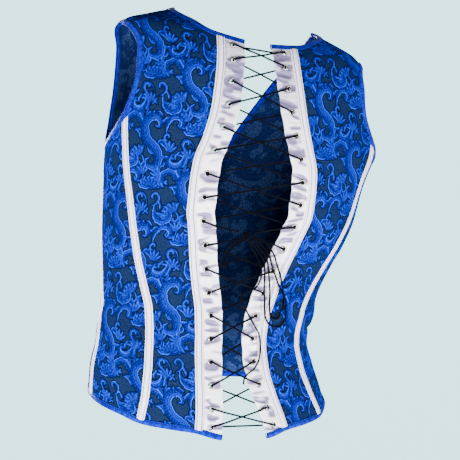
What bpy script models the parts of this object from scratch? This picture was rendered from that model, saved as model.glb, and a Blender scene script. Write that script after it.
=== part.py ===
# Corset vest laced at the centre back, hollow, in the pose in which it is worn.
# Metres, +Z up. The wearer faces -Y, the wearer's left is +X.
# The origin is midway between the two neck points of the shoulders, where the straps rest.
import bpy
import bmesh
import numpy as np
from math import pi

for old in list(bpy.data.objects):
    bpy.data.objects.remove(old, do_unlink=True)

# Driving sizes
clothWall = 0.0016        # two layers of jacquard with their interlining
seamGap = 0.0003          # pieces are this far apart
edgeStep = 0.006          # from an edge or a seam to the next column of a panel
placketWidth = 0.0385     # free edge to the jacquard
eyeletInset = 0.016       # free edge to the eyelet centres
tapeInset = 0.0275        # free edge to the bone tape of the placket
tapeHeight = 0.0009       # bone tape at its edges
boneRise = 0.0005         # more at its middle, over the bone
tapeEndShare = 0.04       # of a row, left free between a tape and the binding
bindingWall = 0.0009
bindingGap = 0.0005       # the folded binding stands this far off the cloth
laceRadius = 0.0011
holeRadius = 0.0029
flangeRadius = 0.0042
barrelRadius = 0.0020

# The worn form, a ring for each height. Angles in degrees; twist turns the ring to the wearer's
# left, roll lifts its left side.
sectionColumns = ("z", "centreX", "centreY", "halfWidth", "backDepth", "frontDepth", "twist", "roll")
sections = [
    (0.012, 0.000, 0.000, 0.062, 0.010, 0.008, 7.0, 10.0),
    (0.000, 0.000, 0.000, 0.100, 0.036, 0.026, 7.0, 10.0),
    (-0.012, 0.000, 0.000, 0.134, 0.056, 0.040, 7.0, 10.0),
    (-0.025, 0.001, 0.000, 0.164, 0.072, 0.052, 7.0, 10.0),
    (-0.045, 0.002, -0.001, 0.177, 0.088, 0.066, 7.0, 9.0),
    (-0.090, 0.004, -0.002, 0.182, 0.106, 0.090, 7.0, 8.0),
    (-0.150, 0.007, -0.003, 0.185, 0.117, 0.110, 7.0, 7.5),
    (-0.210, 0.013, -0.004, 0.185, 0.121, 0.120, 7.0, 6.5),
    (-0.260, 0.018, -0.006, 0.182, 0.119, 0.120, 7.0, 5.5),
    (-0.305, 0.027, -0.008, 0.175, 0.113, 0.116, 6.0, 4.5),
    (-0.340, 0.036, -0.010, 0.166, 0.109, 0.112, 4.5, 3.5),
    (-0.380, 0.046, -0.012, 0.158, 0.106, 0.108, 2.0, 3.0),
    (-0.415, 0.053, -0.012, 0.154, 0.104, 0.105, 0.0, 3.0),
    (-0.450, 0.059, -0.011, 0.155, 0.105, 0.106, -2.0, 3.0),
    (-0.480, 0.059, -0.009, 0.163, 0.109, 0.110, -2.0, 3.0),
    (-0.512, 0.056, -0.007, 0.170, 0.114, 0.115, -2.0, 3.0),
    (-0.545, 0.052, -0.006, 0.175, 0.120, 0.119, -2.0, 3.0),
    (-0.590, 0.049, -0.005, 0.180, 0.126, 0.123, -2.0, 3.0),
]
squareness = 0.03         # how far the rings swell at their diagonals

# The cut, the same on both sides: distances along the ring from the centre back
cutColumns = ("z", "halfGap", "sideBackSeam", "sideSeam")
cut = [
    (-0.025, 0.0195, 0.1960, 0.2640),
    (-0.060, 0.0215, 0.1960, 0.2640),
    (-0.090, 0.0250, 0.1960, 0.2640),
    (-0.130, 0.0310, 0.1960, 0.2640),
    (-0.165, 0.0400, 0.1945, 0.2640),
    (-0.200, 0.0505, 0.1890, 0.2640),
    (-0.230, 0.0525, 0.1820, 0.2610),
    (-0.262, 0.0520, 0.1720, 0.2560),
    (-0.290, 0.0450, 0.1620, 0.2490),
    (-0.335, 0.0335, 0.1440, 0.2350),
    (-0.365, 0.0255, 0.1310, 0.2230),
    (-0.400, 0.0175, 0.1190, 0.2150),
    (-0.435, 0.0150, 0.1160, 0.2150),
    (-0.470, 0.0165, 0.1190, 0.2220),
    (-0.510, 0.0220, 0.1290, 0.2340),
    (-0.545, 0.0295, 0.1430, 0.2450),
    (-0.590, 0.0400, 0.1560, 0.2540),
]

# Outlines of the cut: angle round the body from the centre back, in degrees, and height
hemLine = [(0, -0.5735), (12, -0.5700), (23, -0.5610), (35, -0.5565), (48, -0.5520), (62, -0.5420),
           (80, -0.5345), (99, -0.5275), (120, -0.5230), (150, -0.5230), (180, -0.5230)]
backNeckLine = [(0, -0.0325), (7, -0.0315), (20, -0.0265), (36, -0.0145), (63, -0.0045), (90, 0.0)]
frontNeckLine = [(180, -0.200), (174, -0.170), (165, -0.118), (156, -0.070), (148, -0.036),
                 (135, -0.0135), (114, -0.0035), (90, 0.0)]
underarmLine = [(60, -0.140), (66, -0.152), (76, -0.175), (88, -0.192), (99, -0.200), (110, -0.203)]
backArmholeLine = [(66, -0.152), (60, -0.122), (57, -0.090), (57, -0.062), (61, -0.0435),
                   (75, -0.0315), (90, -0.0295)]
frontArmholeLine = [(99, -0.200), (104, -0.190), (109.5, -0.172), (113, -0.148), (115, -0.118),
                    (114, -0.088), (110, -0.058), (102, -0.038), (90, -0.0295)]
yokeHeight = -0.1518571   # the back's armhole starts here, level with an eyelet
bustHeight = -0.200       # the front's armhole and neckline start here

# Folds that wearing gives, along the outward direction
foldColumns = ("angle", "z", "angleReach", "zReach", "height")
folds = [
    (-76, -0.160, 20, 0.045, 0.0150),     # right underarm stands off
    (-62, -0.075, 12, 0.040, 0.0060),     # right armhole edge stands off
    (-36, -0.408, 13, 0.016, 0.0055),     # bulge over the right waist
    (-52, -0.420, 14, 0.014, 0.0060),
    (-40, -0.432, 14, 0.010, -0.0035),    # crease under it
    (-27, -0.385, 10, 0.014, 0.0030),
    (96, -0.042, 14, 0.014, 0.0060),      # left front armhole edge stands off
    (40, -0.405, 16, 0.014, 0.0015),
]

# Eyelets of one side, from the top down
topEyelets = (-0.0400, -0.0600)
evenEyelets = (-0.0890, -0.5290, 15)
lowEyelet = -0.5535
eyeletHeights = list(topEyelets) + list(np.linspace(*evenEyelets)) + [lowEyelet]
eyeletPitch = eyeletHeights[3] - eyeletHeights[2]

# The lace. Heights over the face; the knot hangs in the gap, nearer one side by its lean.
cordStep = 0.0066         # between the points of a cord's tube
edgeLift = 0.0018
crossingLift = 0.0014
knotHeight = -0.2920
knotLean = 0.48
knotShare = 0.25
knotSize = (0.0085, 0.0055, 0.0060)

# The bow's cords: rows of angle in degrees, height and lift over the face; then where the cord
# starts and ends, from the knot's centre
bowCords = {
    "bow_loop_outer": ([
        (-4.5, -0.3085, -0.0010), (-9.5, -0.3240, 0.0035), (-11.5, -0.3400, 0.0048),
        (-13.0, -0.3600, 0.0048), (-14.8, -0.3780, 0.0042), (-16.0, -0.3940, 0.0032),
        (-17.5, -0.4060, 0.0030), (-20.0, -0.4145, 0.0030), (-23.5, -0.4185, 0.0030),
        (-26.8, -0.4190, 0.0030), (-28.8, -0.4130, 0.0030), (-29.6, -0.4040, 0.0030),
        (-29.0, -0.3950, 0.0034), (-27.2, -0.3850, 0.0050), (-25.0, -0.3745, 0.0060),
        (-21.8, -0.3610, 0.0050), (-18.2, -0.3480, 0.0048), (-14.8, -0.3340, 0.0048),
        (-11.5, -0.3180, 0.0044), (-6.5, -0.3030, 0.0010)],
        (-0.0035, 0.0046, -0.0053), (-0.0062, 0.0060, -0.0016)),
    "bow_loop_inner": ([
        (-5.5, -0.3060, -0.0008), (-10.5, -0.3205, 0.0040), (-13.2, -0.3380, 0.0048),
        (-15.0, -0.3520, 0.0048), (-16.5, -0.3650, 0.0046), (-17.8, -0.3780, 0.0032),
        (-18.6, -0.3900, 0.0030), (-20.2, -0.4010, 0.0030), (-22.6, -0.4080, 0.0030),
        (-25.2, -0.4070, 0.0030), (-26.4, -0.4000, 0.0030), (-26.2, -0.3900, 0.0030),
        (-25.6, -0.3765, 0.0030), (-24.2, -0.3640, 0.0034), (-21.0, -0.3480, 0.0040),
        (-17.2, -0.3320, 0.0048), (-12.8, -0.3130, 0.0050), (-8.0, -0.3000, 0.0038)],
        (-0.0062, 0.0042, -0.0041), (-0.0088, 0.0037, -0.0015)),
    "bow_tail": ([
        (-2.5, -0.3070, -0.0030), (-6.5, -0.3210, -0.0004), (-9.2, -0.3350, 0.0042),
        (-10.2, -0.3440, 0.0050), (-10.2, -0.3520, 0.0048), (-9.6, -0.3590, 0.0050),
        (-8.2, -0.3645, 0.0048), (-6.2, -0.3680, 0.0026), (-4.0, -0.3710, 0.0008),
        (-2.8, -0.3770, 0.0004), (-3.8, -0.3840, 0.0008), (-5.4, -0.3930, 0.0030),
        (-8.2, -0.4050, 0.0052), (-11.5, -0.4175, 0.0046), (-14.0, -0.4270, 0.0044),
        (-15.4, -0.4380, 0.0032), (-15.7, -0.4480, 0.0030), (-14.8, -0.4600, 0.0032),
        (-12.6, -0.4700, 0.0045), (-9.5, -0.4780, 0.0050), (-6.5, -0.4825, 0.0062),
        (-4.4, -0.4880, 0.0056), (-3.4, -0.4970, 0.0030)],
        (-0.0008, 0.0044, -0.0062), None),
    "bow_loop_left": ([
        (5.0, -0.2995, 0.0028), (7.4, -0.3060, 0.0030), (9.0, -0.3150, 0.0022),
        (10.2, -0.3260, 0.0012), (10.1, -0.3345, 0.0010), (9.0, -0.3375, 0.0010),
        (8.1, -0.3320, 0.0010), (7.8, -0.3230, 0.0010), (6.4, -0.3130, 0.0004),
        (4.0, -0.3050, -0.0016)],
        (0.0062, 0.0043, -0.0041), (0.0035, 0.0047, -0.0053)),
}

panelColumns = {"back": 6, "sideBack": 5, "front": 8}
# Rows of the panels from the hem to the armhole, the heights of eyelets and of places midway
# between two, as half steps down from the eyelet at the yoke; close together at the waist
yokeSteps = (24, 22, 21, 20, 18, 17, 16, 15, 14, 12, 10, 8, 6, 4, 2)
seamRows = len(yokeSteps) + 3
armholeRows = 9           # from there to the shoulder seam
neckRows = 4              # of these, along the back neckline

# Colours are linear red, green and blue
finishes = {
    "jacquard": ((0.020, 0.075, 0.300), 0.55, 0.0),
    "satin": ((0.780, 0.770, 0.830), 0.40, 0.0),
    "tape": ((0.760, 0.750, 0.780), 0.55, 0.0),
    "binding": ((0.014, 0.075, 0.480), 0.38, 0.0),
    "nickel": ((0.620, 0.620, 0.640), 0.25, 1.0),
    "cord": ((0.006, 0.006, 0.008), 0.60, 0.0),
}


def table(rows):
    """Rows by rising first column, as an array."""
    found = np.array(rows, float)
    return found[np.argsort(found[:, 0])]


def follow(rows, at):
    """Smooth curve through a table's rows that never overshoots them."""
    rows = table(rows)
    key, value = rows[:, 0], rows[:, 1:]
    at = np.clip(np.asarray(at, float), key[0], key[-1])
    step = np.diff(key)
    rise = np.diff(value, axis=0) / step[:, None]
    slope = np.zeros_like(value)
    slope[0], slope[-1] = rise[0], rise[-1]
    before, after = 2 * step[1:] + step[:-1], step[1:] + 2 * step[:-1]
    turns = rise[:-1] * rise[1:] <= 0
    safeA, safeB = np.where(turns, 1, rise[:-1]), np.where(turns, 1, rise[1:])
    blend = (before + after)[:, None] / (before[:, None] / safeA + after[:, None] / safeB)
    slope[1:-1] = np.where(turns, 0, blend)
    i = np.clip(np.searchsorted(key, at) - 1, 0, len(key) - 2)
    t = ((at - key[i]) / step[i])[..., None]
    h = step[i][..., None]
    return ((1 + 2 * t) * (1 - t) ** 2 * value[i] + t * (1 - t) ** 2 * h * slope[i]
            + t * t * (3 - 2 * t) * value[i + 1] + t * t * (t - 1) * h * slope[i + 1])


def ring(angle, z):
    """The worn form without folds: an ellipse for each height, wider at its diagonals,
    turned by the twist and sheared by the roll."""
    angle, z = np.broadcast_arrays(np.asarray(angle, float), np.asarray(z, float))
    found = follow(sections, z)
    centreX, centreY, half, back, front, twist, roll = np.moveaxis(found, -1, 0)
    twist, roll = np.radians(twist), np.radians(roll)
    swell = 1 + squareness * np.sin(2 * angle) ** 2
    across = half * np.sin(angle) * swell
    along = np.where(np.cos(angle) >= 0, back, front) * np.cos(angle) * swell
    x = across * np.cos(twist) + along * np.sin(twist)
    y = along * np.cos(twist) - across * np.sin(twist)
    return np.stack([x + centreX, y + centreY, z + x * np.tan(roll)], axis=-1)


def outward(surface, angle, z):
    """Unit normal of a surface, from the differences across a small step each way."""
    small = 0.0005
    alongAngle = surface(angle + small * 4, z) - surface(angle - small * 4, z)
    alongZ = surface(angle, z + small) - surface(angle, z - small)
    normal = np.cross(alongZ, alongAngle)
    return normal / np.linalg.norm(normal, axis=-1, keepdims=True)


def form(angle, z):
    """Outer face of the garment: the rings moved out by the folds."""
    angle, z = np.broadcast_arrays(np.asarray(angle, float), np.asarray(z, float))
    height = np.zeros(angle.shape)
    for foldAngle, foldZ, angleReach, zReach, foldHeight in folds:
        away = ((np.degrees(angle) - foldAngle) / angleReach) ** 2 + ((z - foldZ) / zReach) ** 2
        height = height + foldHeight * np.exp(-away)
    return ring(angle, z) + outward(ring, angle, z) * height[..., None]


def lifted(angle, z, height=0.0):
    """Points of the outer face, moved out by a height."""
    return form(angle, z) + outward(form, angle, z) * np.asarray(height, float)[..., None]


roundAngles = np.linspace(-pi, pi, 481)


def angleAt(distance, z):
    """Angle on the ring at a distance along it from the centre back."""
    distance, z = np.broadcast_arrays(np.asarray(distance, float), np.asarray(z, float))
    found = np.empty(distance.shape)
    for index in np.ndindex(distance.shape):
        points = ring(roundAngles, np.full(roundAngles.shape, z[index]))
        length = np.concatenate([[0], np.cumsum(np.linalg.norm(np.diff(points, axis=0), axis=1))])
        found[index] = np.interp(distance[index], length - length[len(length) // 2], roundAngles)
    return found


def rateAngle(angle, z):
    """Metres along the face for each radian round it."""
    return np.linalg.norm(form(angle + 0.002, z) - form(angle - 0.002, z), axis=-1) / 0.004


def rateZ(angle, z):
    """Metres along the face for each metre of height."""
    return np.linalg.norm(form(angle, z + 0.0005) - form(angle, z - 0.0005), axis=-1) / 0.001


def seamAngle(column, z, side, extra=0.0):
    """Angle of a line of the cut, on one side, with extra metres away from the centre back."""
    distance = follow(cut, z)[..., cutColumns.index(column) - 1] + extra
    return angleAt(side * distance, z)


def alongLine(line, side, count):
    """Points evenly spaced by length along an outline, as angle and height."""
    line = np.array(line, float)
    dense = np.linspace(0, len(line) - 1, 40 * (len(line) - 1) + 1)
    index = np.arange(len(line))
    smooth = follow(np.column_stack([index, line]), dense)
    angle, z = np.radians(smooth[:, 0]) * side, smooth[:, 1]
    points = form(angle, z)
    length = np.concatenate([[0], np.cumsum(np.linalg.norm(np.diff(points, axis=0), axis=1))])
    at = np.linspace(0, length[-1], count)
    return np.column_stack([np.interp(at, length, angle), np.interp(at, length, z)])


def lineHeight(line, angle):
    """Height of an outline at an angle."""
    return follow(line, np.abs(np.degrees(angle)))[..., 0]


def stepIn(edge, toward, distance):
    """Moves each point of an edge along the face, square to the edge, toward another line."""
    angle, z = edge[:, 0], edge[:, 1]
    points = form(angle, z)
    tangent = np.gradient(points, axis=0)
    tangent /= np.linalg.norm(tangent, axis=1, keepdims=True)
    normal = outward(form, angle, z)
    square = np.cross(normal, tangent)
    goal = form(toward[:, 0], toward[:, 1]) - points
    square *= np.sign(np.sum(square * goal, axis=1, keepdims=True))
    byAngle = (form(angle + 0.001, z) - form(angle - 0.001, z)) / 0.002
    byZ = (form(angle, z + 0.0005) - form(angle, z - 0.0005)) / 0.001
    aa, az, zz = (np.sum(p * q, axis=1) for p, q in ((byAngle, byAngle), (byAngle, byZ), (byZ, byZ)))
    ga, gz = (np.sum(p * square, axis=1) * distance for p in (byAngle, byZ))
    det = aa * zz - az * az
    return np.column_stack([angle + (ga * zz - gz * az) / det, z + (gz * aa - ga * az) / det])


def heights(low, high, angle):
    """Heights of a column's points: one step in from each end, and between these the rows' shares
    of the height at the centre back."""
    first = low + edgeStep / rateZ(angle, low)
    last = high - edgeStep / rateZ(angle, high)
    shares = 1 - np.array(yokeSteps) / (yokeSteps[0] + 2.2)
    return np.concatenate([[low, first], low + (high - low) * shares, [last, high]])


def columnShares(count):
    """Even shares of the width for the columns between the two edge columns."""
    return np.linspace(0, 1, count - 1)


def lowerGrid(innerAngle, outerAngle, topHeight, columns, rows):
    """Angle and height of a panel's points below its armhole, by column and row."""
    grid = np.zeros((columns + 1, rows + 1, 2))
    shares = np.concatenate([[0], columnShares(columns), [1]])

    def angleOf(column, z):
        inner, outer = innerAngle(z), outerAngle(z)
        side = np.sign(outer - inner)
        if column in (0, columns):
            return inner if column == 0 else outer
        inner = inner + side * edgeStep / rateAngle(inner, z)
        outer = outer - side * edgeStep / rateAngle(outer, z)
        return inner + (outer - inner) * shares[column]

    for column in range(columns + 1):
        low, high = -0.55, -0.17
        for repeat in range(6):
            low = float(lineHeight(hemLine, angleOf(column, low)))
            high = float(topHeight(angleOf(column, high)))
        z = heights(low, high, angleOf(column, np.array(low)))
        grid[column, :, 0], grid[column, :, 1] = angleOf(column, z), z
    return grid


def upperGrid(inner, outer, columns):
    """Points above the lower grid, straight between an inner and an outer line."""
    innerNext, outerNext = stepIn(inner, outer, edgeStep), stepIn(outer, inner, edgeStep)
    innerNext[-1, 0], outerNext[-1, 0] = inner[-1, 0], outer[-1, 0]
    rows = [inner] + [innerNext + (outerNext - innerNext) * s for s in columnShares(columns)] + [outer]
    return np.stack(rows)


def shoulderAngle(side, front):
    """The shoulder seam runs along the top of the shoulder, half a seam gap off it."""
    away = seamGap / 2 / 0.05
    return side * (pi / 2 + (away if front else -away))


def backPanel(side):
    count = panelColumns["back"]
    lower = lowerGrid(lambda z: seamAngle("halfGap", z, side, placketWidth + seamGap / 2),
                      lambda z: seamAngle("sideBackSeam", z, side, -seamGap / 2),
                      lambda angle: yokeHeight, count, seamRows)
    corner = neckCorner(side)
    lower[0, 2:-2, 1] = yokeHeight + np.array(yokeSteps) * eyeletPitch / 2
    lower[0, -1, 1] = yokeHeight
    lower[0, :, 0] = seamAngle("halfGap", lower[0, :, 1], side, placketWidth + seamGap / 2)
    mids = [(eyeletHeights[k] + eyeletHeights[k + 1]) / 2 for k in (3, 1, 0)]
    innerZ = np.array([yokeHeight] + mids + [corner[1] - edgeStep / float(rateZ(*corner))])
    innerSeam = np.column_stack([seamAngle("halfGap", innerZ, side, placketWidth + seamGap / 2), innerZ])
    neck = [(np.degrees(abs(corner[0])), corner[1])] + [p for p in backNeckLine if p[0] > 22]
    inner = np.vstack([innerSeam, alongLine(neck, side, neckRows + 1)])
    outer = alongLine(backArmholeLine, side, armholeRows + 1)
    inner[-1, 0] = outer[-1, 0] = shoulderAngle(side, False)
    upper = upperGrid(inner, outer, count)
    upper[:, 0] = lower[:, -1]
    return np.concatenate([lower, upper[:, 1:]], axis=1)


def neckCorner(side, extra=placketWidth + seamGap / 2):
    """Where a line beside the lacing gap meets the back neckline."""
    z = -0.028
    for repeat in range(6):
        angle = float(seamAngle("halfGap", np.array(z), side, extra))
        z = float(lineHeight(backNeckLine, angle))
    return angle, z


def sideBackPanel(side):
    return lowerGrid(lambda z: seamAngle("sideBackSeam", z, side, seamGap / 2),
                     lambda z: seamAngle("sideSeam", z, side, -seamGap / 2),
                     lambda angle: lineHeight(underarmLine, angle), panelColumns["sideBack"], seamRows)


def frontPanel(side):
    count = panelColumns["front"]
    centre = pi
    lower = lowerGrid(lambda z: seamAngle("sideSeam", z, side, seamGap / 2),
                      lambda z: np.full(np.shape(z), side * centre),
                      lambda angle: bustHeight, count, seamRows)
    armhole = alongLine(frontArmholeLine, side, armholeRows + 1)
    neck = alongLine(frontNeckLine, side, armholeRows + 1)
    armhole[-1, 0] = neck[-1, 0] = shoulderAngle(side, True)
    neck[0, 0] = side * centre
    upper = upperGrid(armhole, neck, count)
    upper[:, 0] = lower[:, -1]
    return np.concatenate([lower, upper[:, 1:]], axis=1)


def gridFaces(columns, rows):
    """Triangles of a grid of points whose rows run fastest, all cut the same way."""
    i, j = np.meshgrid(np.arange(columns), np.arange(rows), indexing="ij")
    a = (i * (rows + 1) + j).ravel()
    b, c, d = a + rows + 1, a + rows + 2, a + 1
    return np.vstack([np.column_stack([a, b, c]), np.column_stack([a, c, d])])


def addSolid(name, points, faces, finish):
    """A mesh object from its points and triangles, facing out, with its own material."""
    points, faces = np.asarray(points, float), np.asarray(faces, int)
    corners = points[faces]
    if np.einsum("ij,ij->", corners[:, 0], np.cross(corners[:, 1], corners[:, 2])) < 0:
        faces = faces[:, ::-1]
    mesh = bpy.data.meshes.new(name)
    mesh.from_pydata(points.tolist(), [], faces.tolist())
    mesh.shade_smooth()
    mesh.set_sharp_from_angle(angle=0.7)
    piece = bpy.data.objects.new(name, mesh)
    bpy.context.scene.collection.objects.link(piece)
    piece.data.materials.append(addMaterial(name, finish))
    return piece


def addMaterial(name, finish):
    colour, roughness, metallic = finishes[finish]
    material = bpy.data.materials.new(name + "_" + finish)
    material.use_nodes = True
    shader = material.node_tree.nodes["Principled BSDF"]
    shader.inputs["Base Color"].default_value = (*colour, 1.0)
    shader.inputs["Roughness"].default_value = roughness
    shader.inputs["Metallic"].default_value = metallic
    return material


def addSheet(name, angle, z, faces, low, high, finish):
    """A wall between two heights over the face. Its rim is closed where a triangle has no
    neighbour."""
    angle, z = np.ravel(angle), np.ravel(z)
    bottom = lifted(angle, z, np.broadcast_to(low, angle.shape))
    top = lifted(angle, z, np.broadcast_to(high, angle.shape))
    count = len(angle)
    edges = {}
    for face in faces:
        for start, end in ((face[0], face[1]), (face[1], face[2]), (face[2], face[0])):
            edges[(int(start), int(end))] = True
    rim = [edge for edge in edges if (edge[1], edge[0]) not in edges]
    walls = [tri for a, b in rim for tri in ((a, b, b + count), (a, b + count, a + count))]
    allFaces = np.vstack([faces + count, faces[:, ::-1], np.array(walls)])
    return addSolid(name, np.vstack([bottom, top]), allFaces, finish)


def addPanel(name, grid, side):
    columns, rows = grid.shape[0] - 1, grid.shape[1] - 1
    ordered = grid if side > 0 else grid[::-1]
    return addSheet(name, ordered[..., 0], ordered[..., 1], gridFaces(columns, rows),
                    -clothWall, 0.0, "jacquard")


def addFront(name, left, right):
    """The front, cut in one: both halves' grids, sharing the centre line below the neck."""
    columns, rows = left.shape[0] - 1, left.shape[1] - 1
    halves = [left, right[::-1]]
    points = np.concatenate([half.reshape(-1, 2) for half in halves])
    count = (columns + 1) * (rows + 1)
    faces = np.vstack([gridFaces(columns, rows), gridFaces(columns, rows) + count])
    renumber = np.arange(2 * count)
    centreLeft = columns * (rows + 1) + np.arange(seamRows + 1)
    renumber[count:count + seamRows + 1] = centreLeft
    points[centreLeft, 0] = pi
    faces = renumber[faces]
    used, renumbered = np.unique(faces, return_inverse=True)
    return addSheet(name, points[used, 0], points[used, 1], renumbered.reshape(faces.shape),
                    -clothWall, 0.0, "jacquard")


def placketGrid(side, seam):
    """Angle and height of the placket's lines: columns at the free edge, the eyelets, the bone
    tape and the seam; rows at the hem, between and at the eyelets, and at the neckline."""
    insets = (0.0, eyeletInset, tapeInset, placketWidth - seamGap / 2)
    levels = [None, None]
    for lower, upper in zip(eyeletHeights[::-1][:-1], eyeletHeights[::-1][1:]):
        levels += [lower, (lower + upper) / 2]
    levels += [eyeletHeights[0], None, None]
    grid = np.zeros((len(insets), len(levels), 2))
    for column, inset in enumerate(insets):
        low = -0.57
        for repeat in range(6):
            angle = float(seamAngle("halfGap", np.array(low), side, inset))
            low = float(lineHeight(hemLine, angle))
        high = neckCorner(side, inset)[1]
        topAngle = seamAngle("halfGap", np.array(high), side, inset)
        z = np.array([low, low + edgeStep / rateZ(angle, np.array(low))] + levels[2:-2]
                     + [high - edgeStep / rateZ(topAngle, np.array(high)), high], float)
        grid[column, :, 0] = seamAngle("halfGap", z, side, inset)
        grid[column, :, 1] = z
    onSeam = np.interp(grid[-1, :, 1], seam[:, 1], seam[:, 0])
    grid[-1, :, 0] = onSeam - side * 2 * seamGap / rateAngle(onSeam, grid[-1, :, 1])
    return grid


def addPlacket(name, grid, side):
    """The placket's sheet with a hole at each eyelet: round each hole, the four cells keep
    their outer corners and meet an eight-sided ring."""
    ordered = grid if side > 0 else grid[::-1]
    columns, rows = ordered.shape[0], ordered.shape[1]
    eyeletColumn = 1 if side > 0 else columns - 2
    points = [tuple(p) for p in ordered.reshape(-1, 2)]
    holes = {}
    for row in range(2, rows - 2, 2):
        angle, z = ordered[eyeletColumn, row]
        byAngle, byZ = rateAngle(angle, z), rateZ(angle, z)
        for step in range(8):
            turn = step * pi / 4
            holes[(row, step)] = len(points)
            points.append((angle + holeRadius * np.cos(turn) / byAngle,
                           z + holeRadius * np.sin(turn) / byZ))
    faces = []

    def at(column, row):
        return column * rows + row

    def quad(a, b, c, d):
        faces.extend([(a, b, c), (a, c, d)])

    for column in range(columns - 1):
        for row in range(rows - 1):
            a, b, c, d = at(column, row), at(column + 1, row), at(column + 1, row + 1), at(column, row + 1)
            touching = [(c0, r0) for c0 in (column, column + 1) for r0 in (row, row + 1)
                        if c0 == eyeletColumn and (r0, 0) in holes]
            if not touching:
                quad(a, b, c, d)
                continue
            c0, r0 = touching[0]
            rightOf, above = c0 == column, r0 == row
            if rightOf and above:
                ringAt = [holes[(r0, k)] for k in (0, 1, 2)]
                quad(ringAt[0], b, c, ringAt[1])
                quad(ringAt[1], c, d, ringAt[2])
            elif above:
                ringAt = [holes[(r0, k)] for k in (2, 3, 4)]
                quad(ringAt[0], c, d, ringAt[1])
                quad(ringAt[1], d, a, ringAt[2])
            elif rightOf:
                ringAt = [holes[(r0, k)] for k in (6, 7, 0)]
                quad(ringAt[0], a, b, ringAt[1])
                quad(ringAt[1], b, c, ringAt[2])
            else:
                ringAt = [holes[(r0, k)] for k in (4, 5, 6)]
                quad(ringAt[0], d, a, ringAt[1])
                quad(ringAt[1], a, b, ringAt[2])
    faces = np.array(faces)
    used, renumbered = np.unique(faces, return_inverse=True)
    kept = np.array(points)[used]
    return addSheet(name, kept[:, 0], kept[:, 1], renumbered.reshape(faces.shape), -clothWall, 0.0, "satin")


def addTape(name, lines):
    """A bone tape over neighbouring columns, from one row in at each end, higher at its middle."""
    lines = np.array(lines)
    lines[:, 0] += (lines[:, 1] - lines[:, 0]) * tapeEndShare
    lines[:, -1] -= (lines[:, -1] - lines[:, -2]) * tapeEndShare
    high = np.full(lines.shape[:2], seamGap + tapeHeight)
    if len(lines) == 3:
        high[1] += boneRise
    if lines[0, 0, 0] > lines[-1, 0, 0]:
        lines, high = lines[::-1], high[::-1]
    return addSheet(name, lines[..., 0], lines[..., 1], gridFaces(len(lines) - 1, lines.shape[1] - 1),
                    seamGap, high.ravel(), "tape")


def addBinding(name, edge, leg, closed, corners):
    """A folded strip round an edge, from the edge's points and those one step in: two legs over
    the two faces of the cloth, joined past the edge. It stands off further at its corners."""
    edgePoint, legPoint = form(edge[:, 0], edge[:, 1]), form(leg[:, 0], leg[:, 1])
    edgeNormal = outward(form, edge[:, 0], edge[:, 1])
    legNormal = outward(form, leg[:, 0], leg[:, 1])
    past = edgePoint - legPoint
    past /= np.linalg.norm(past, axis=1, keepdims=True)
    inner = np.full((len(edge), 1), bindingGap)
    for corner in corners:
        inner[[corner - 1, corner, corner + 1]] = np.array([[1.5], [2.4], [1.5]]) * bindingGap
    outer = inner + bindingWall
    section = [legPoint + legNormal * outer,
               edgePoint + edgeNormal * outer + past * inner,
               edgePoint - edgeNormal * clothWall / 2 + past * (inner + bindingWall * 1.3),
               edgePoint - edgeNormal * (clothWall + outer) + past * inner,
               legPoint - legNormal * (clothWall + outer),
               legPoint - legNormal * (clothWall + inner),
               edgePoint - edgeNormal * (clothWall + inner) + past * inner,
               edgePoint + edgeNormal * inner + past * inner,
               legPoint + legNormal * inner]
    points = np.stack(section, axis=1)
    stations, corners = points.shape[:2]
    faces = []
    for station in range(stations if closed else stations - 1):
        here, there = station * corners, (station + 1) % stations * corners
        for corner in range(corners):
            after = (corner + 1) % corners
            a, b, c, d = here + corner, here + after, there + after, there + corner
            faces += [(a, b, c), (a, c, d)]
    if not closed:
        cap = [(0, 1, 7), (0, 7, 8), (1, 2, 7), (2, 6, 7), (2, 3, 6), (3, 4, 5), (3, 5, 6)]
        last = (stations - 1) * corners
        faces += [(a, c, b) for a, b, c in cap] + [(a + last, b + last, c + last) for a, b, c in cap]
    return addSolid(name, points.reshape(-1, 3), faces, "binding")


def eyeletPlace(side, z):
    """Centre of an eyelet on the placket's face, its outward direction and two square to it."""
    angle = seamAngle("halfGap", np.array(z), side, eyeletInset)
    centre = form(angle, np.array(z))
    normal = outward(form, angle, np.array(z))
    acrossWay = form(angle + 0.01, np.array(z)) - centre
    acrossWay = acrossWay - normal * (acrossWay @ normal)
    acrossWay /= np.linalg.norm(acrossWay)
    return centre, normal, acrossWay, np.cross(normal, acrossWay)


def addEyelet(name, side, z):
    """A domed ring on the face with a barrel through the hole."""
    centre, normal, acrossWay, upWay = eyeletPlace(side, z)
    profile = ((barrelRadius, 0.0010), (flangeRadius, seamGap + 0.0002), (holeRadius - 0.0004, seamGap),
               (barrelRadius + 0.0001, -clothWall - 0.0005))
    sides = 8
    points, faces = [], []
    for step in range(sides):
        turn = step * 2 * pi / sides
        for radius, height in profile:
            points.append(centre + normal * height + acrossWay * radius * np.cos(turn)
                          + upWay * radius * np.sin(turn))
    for step in range(sides):
        here, there = step * 4, (step + 1) % sides * 4
        for corner in range(4):
            after = (corner + 1) % 4
            a, b, c, d = here + corner, here + after, there + after, there + corner
            faces += [(a, b, c), (a, c, d)]
    return addSolid(name, points, faces, "nickel")


def edgePlace(side, z, height):
    """A point over the placket's free edge."""
    angle = seamAngle("halfGap", np.array(z), side)
    return lifted(angle, np.array(z), height)


def eyeletEnds(side, number):
    """Where the lace stands outside and inside an eyelet."""
    centre, normal, acrossWay, upWay = eyeletPlace(side, eyeletHeights[number - 1])
    toGap = -acrossWay * side
    return centre + normal * 0.0024 + toGap * 0.0005, centre - normal * 0.0036


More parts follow.
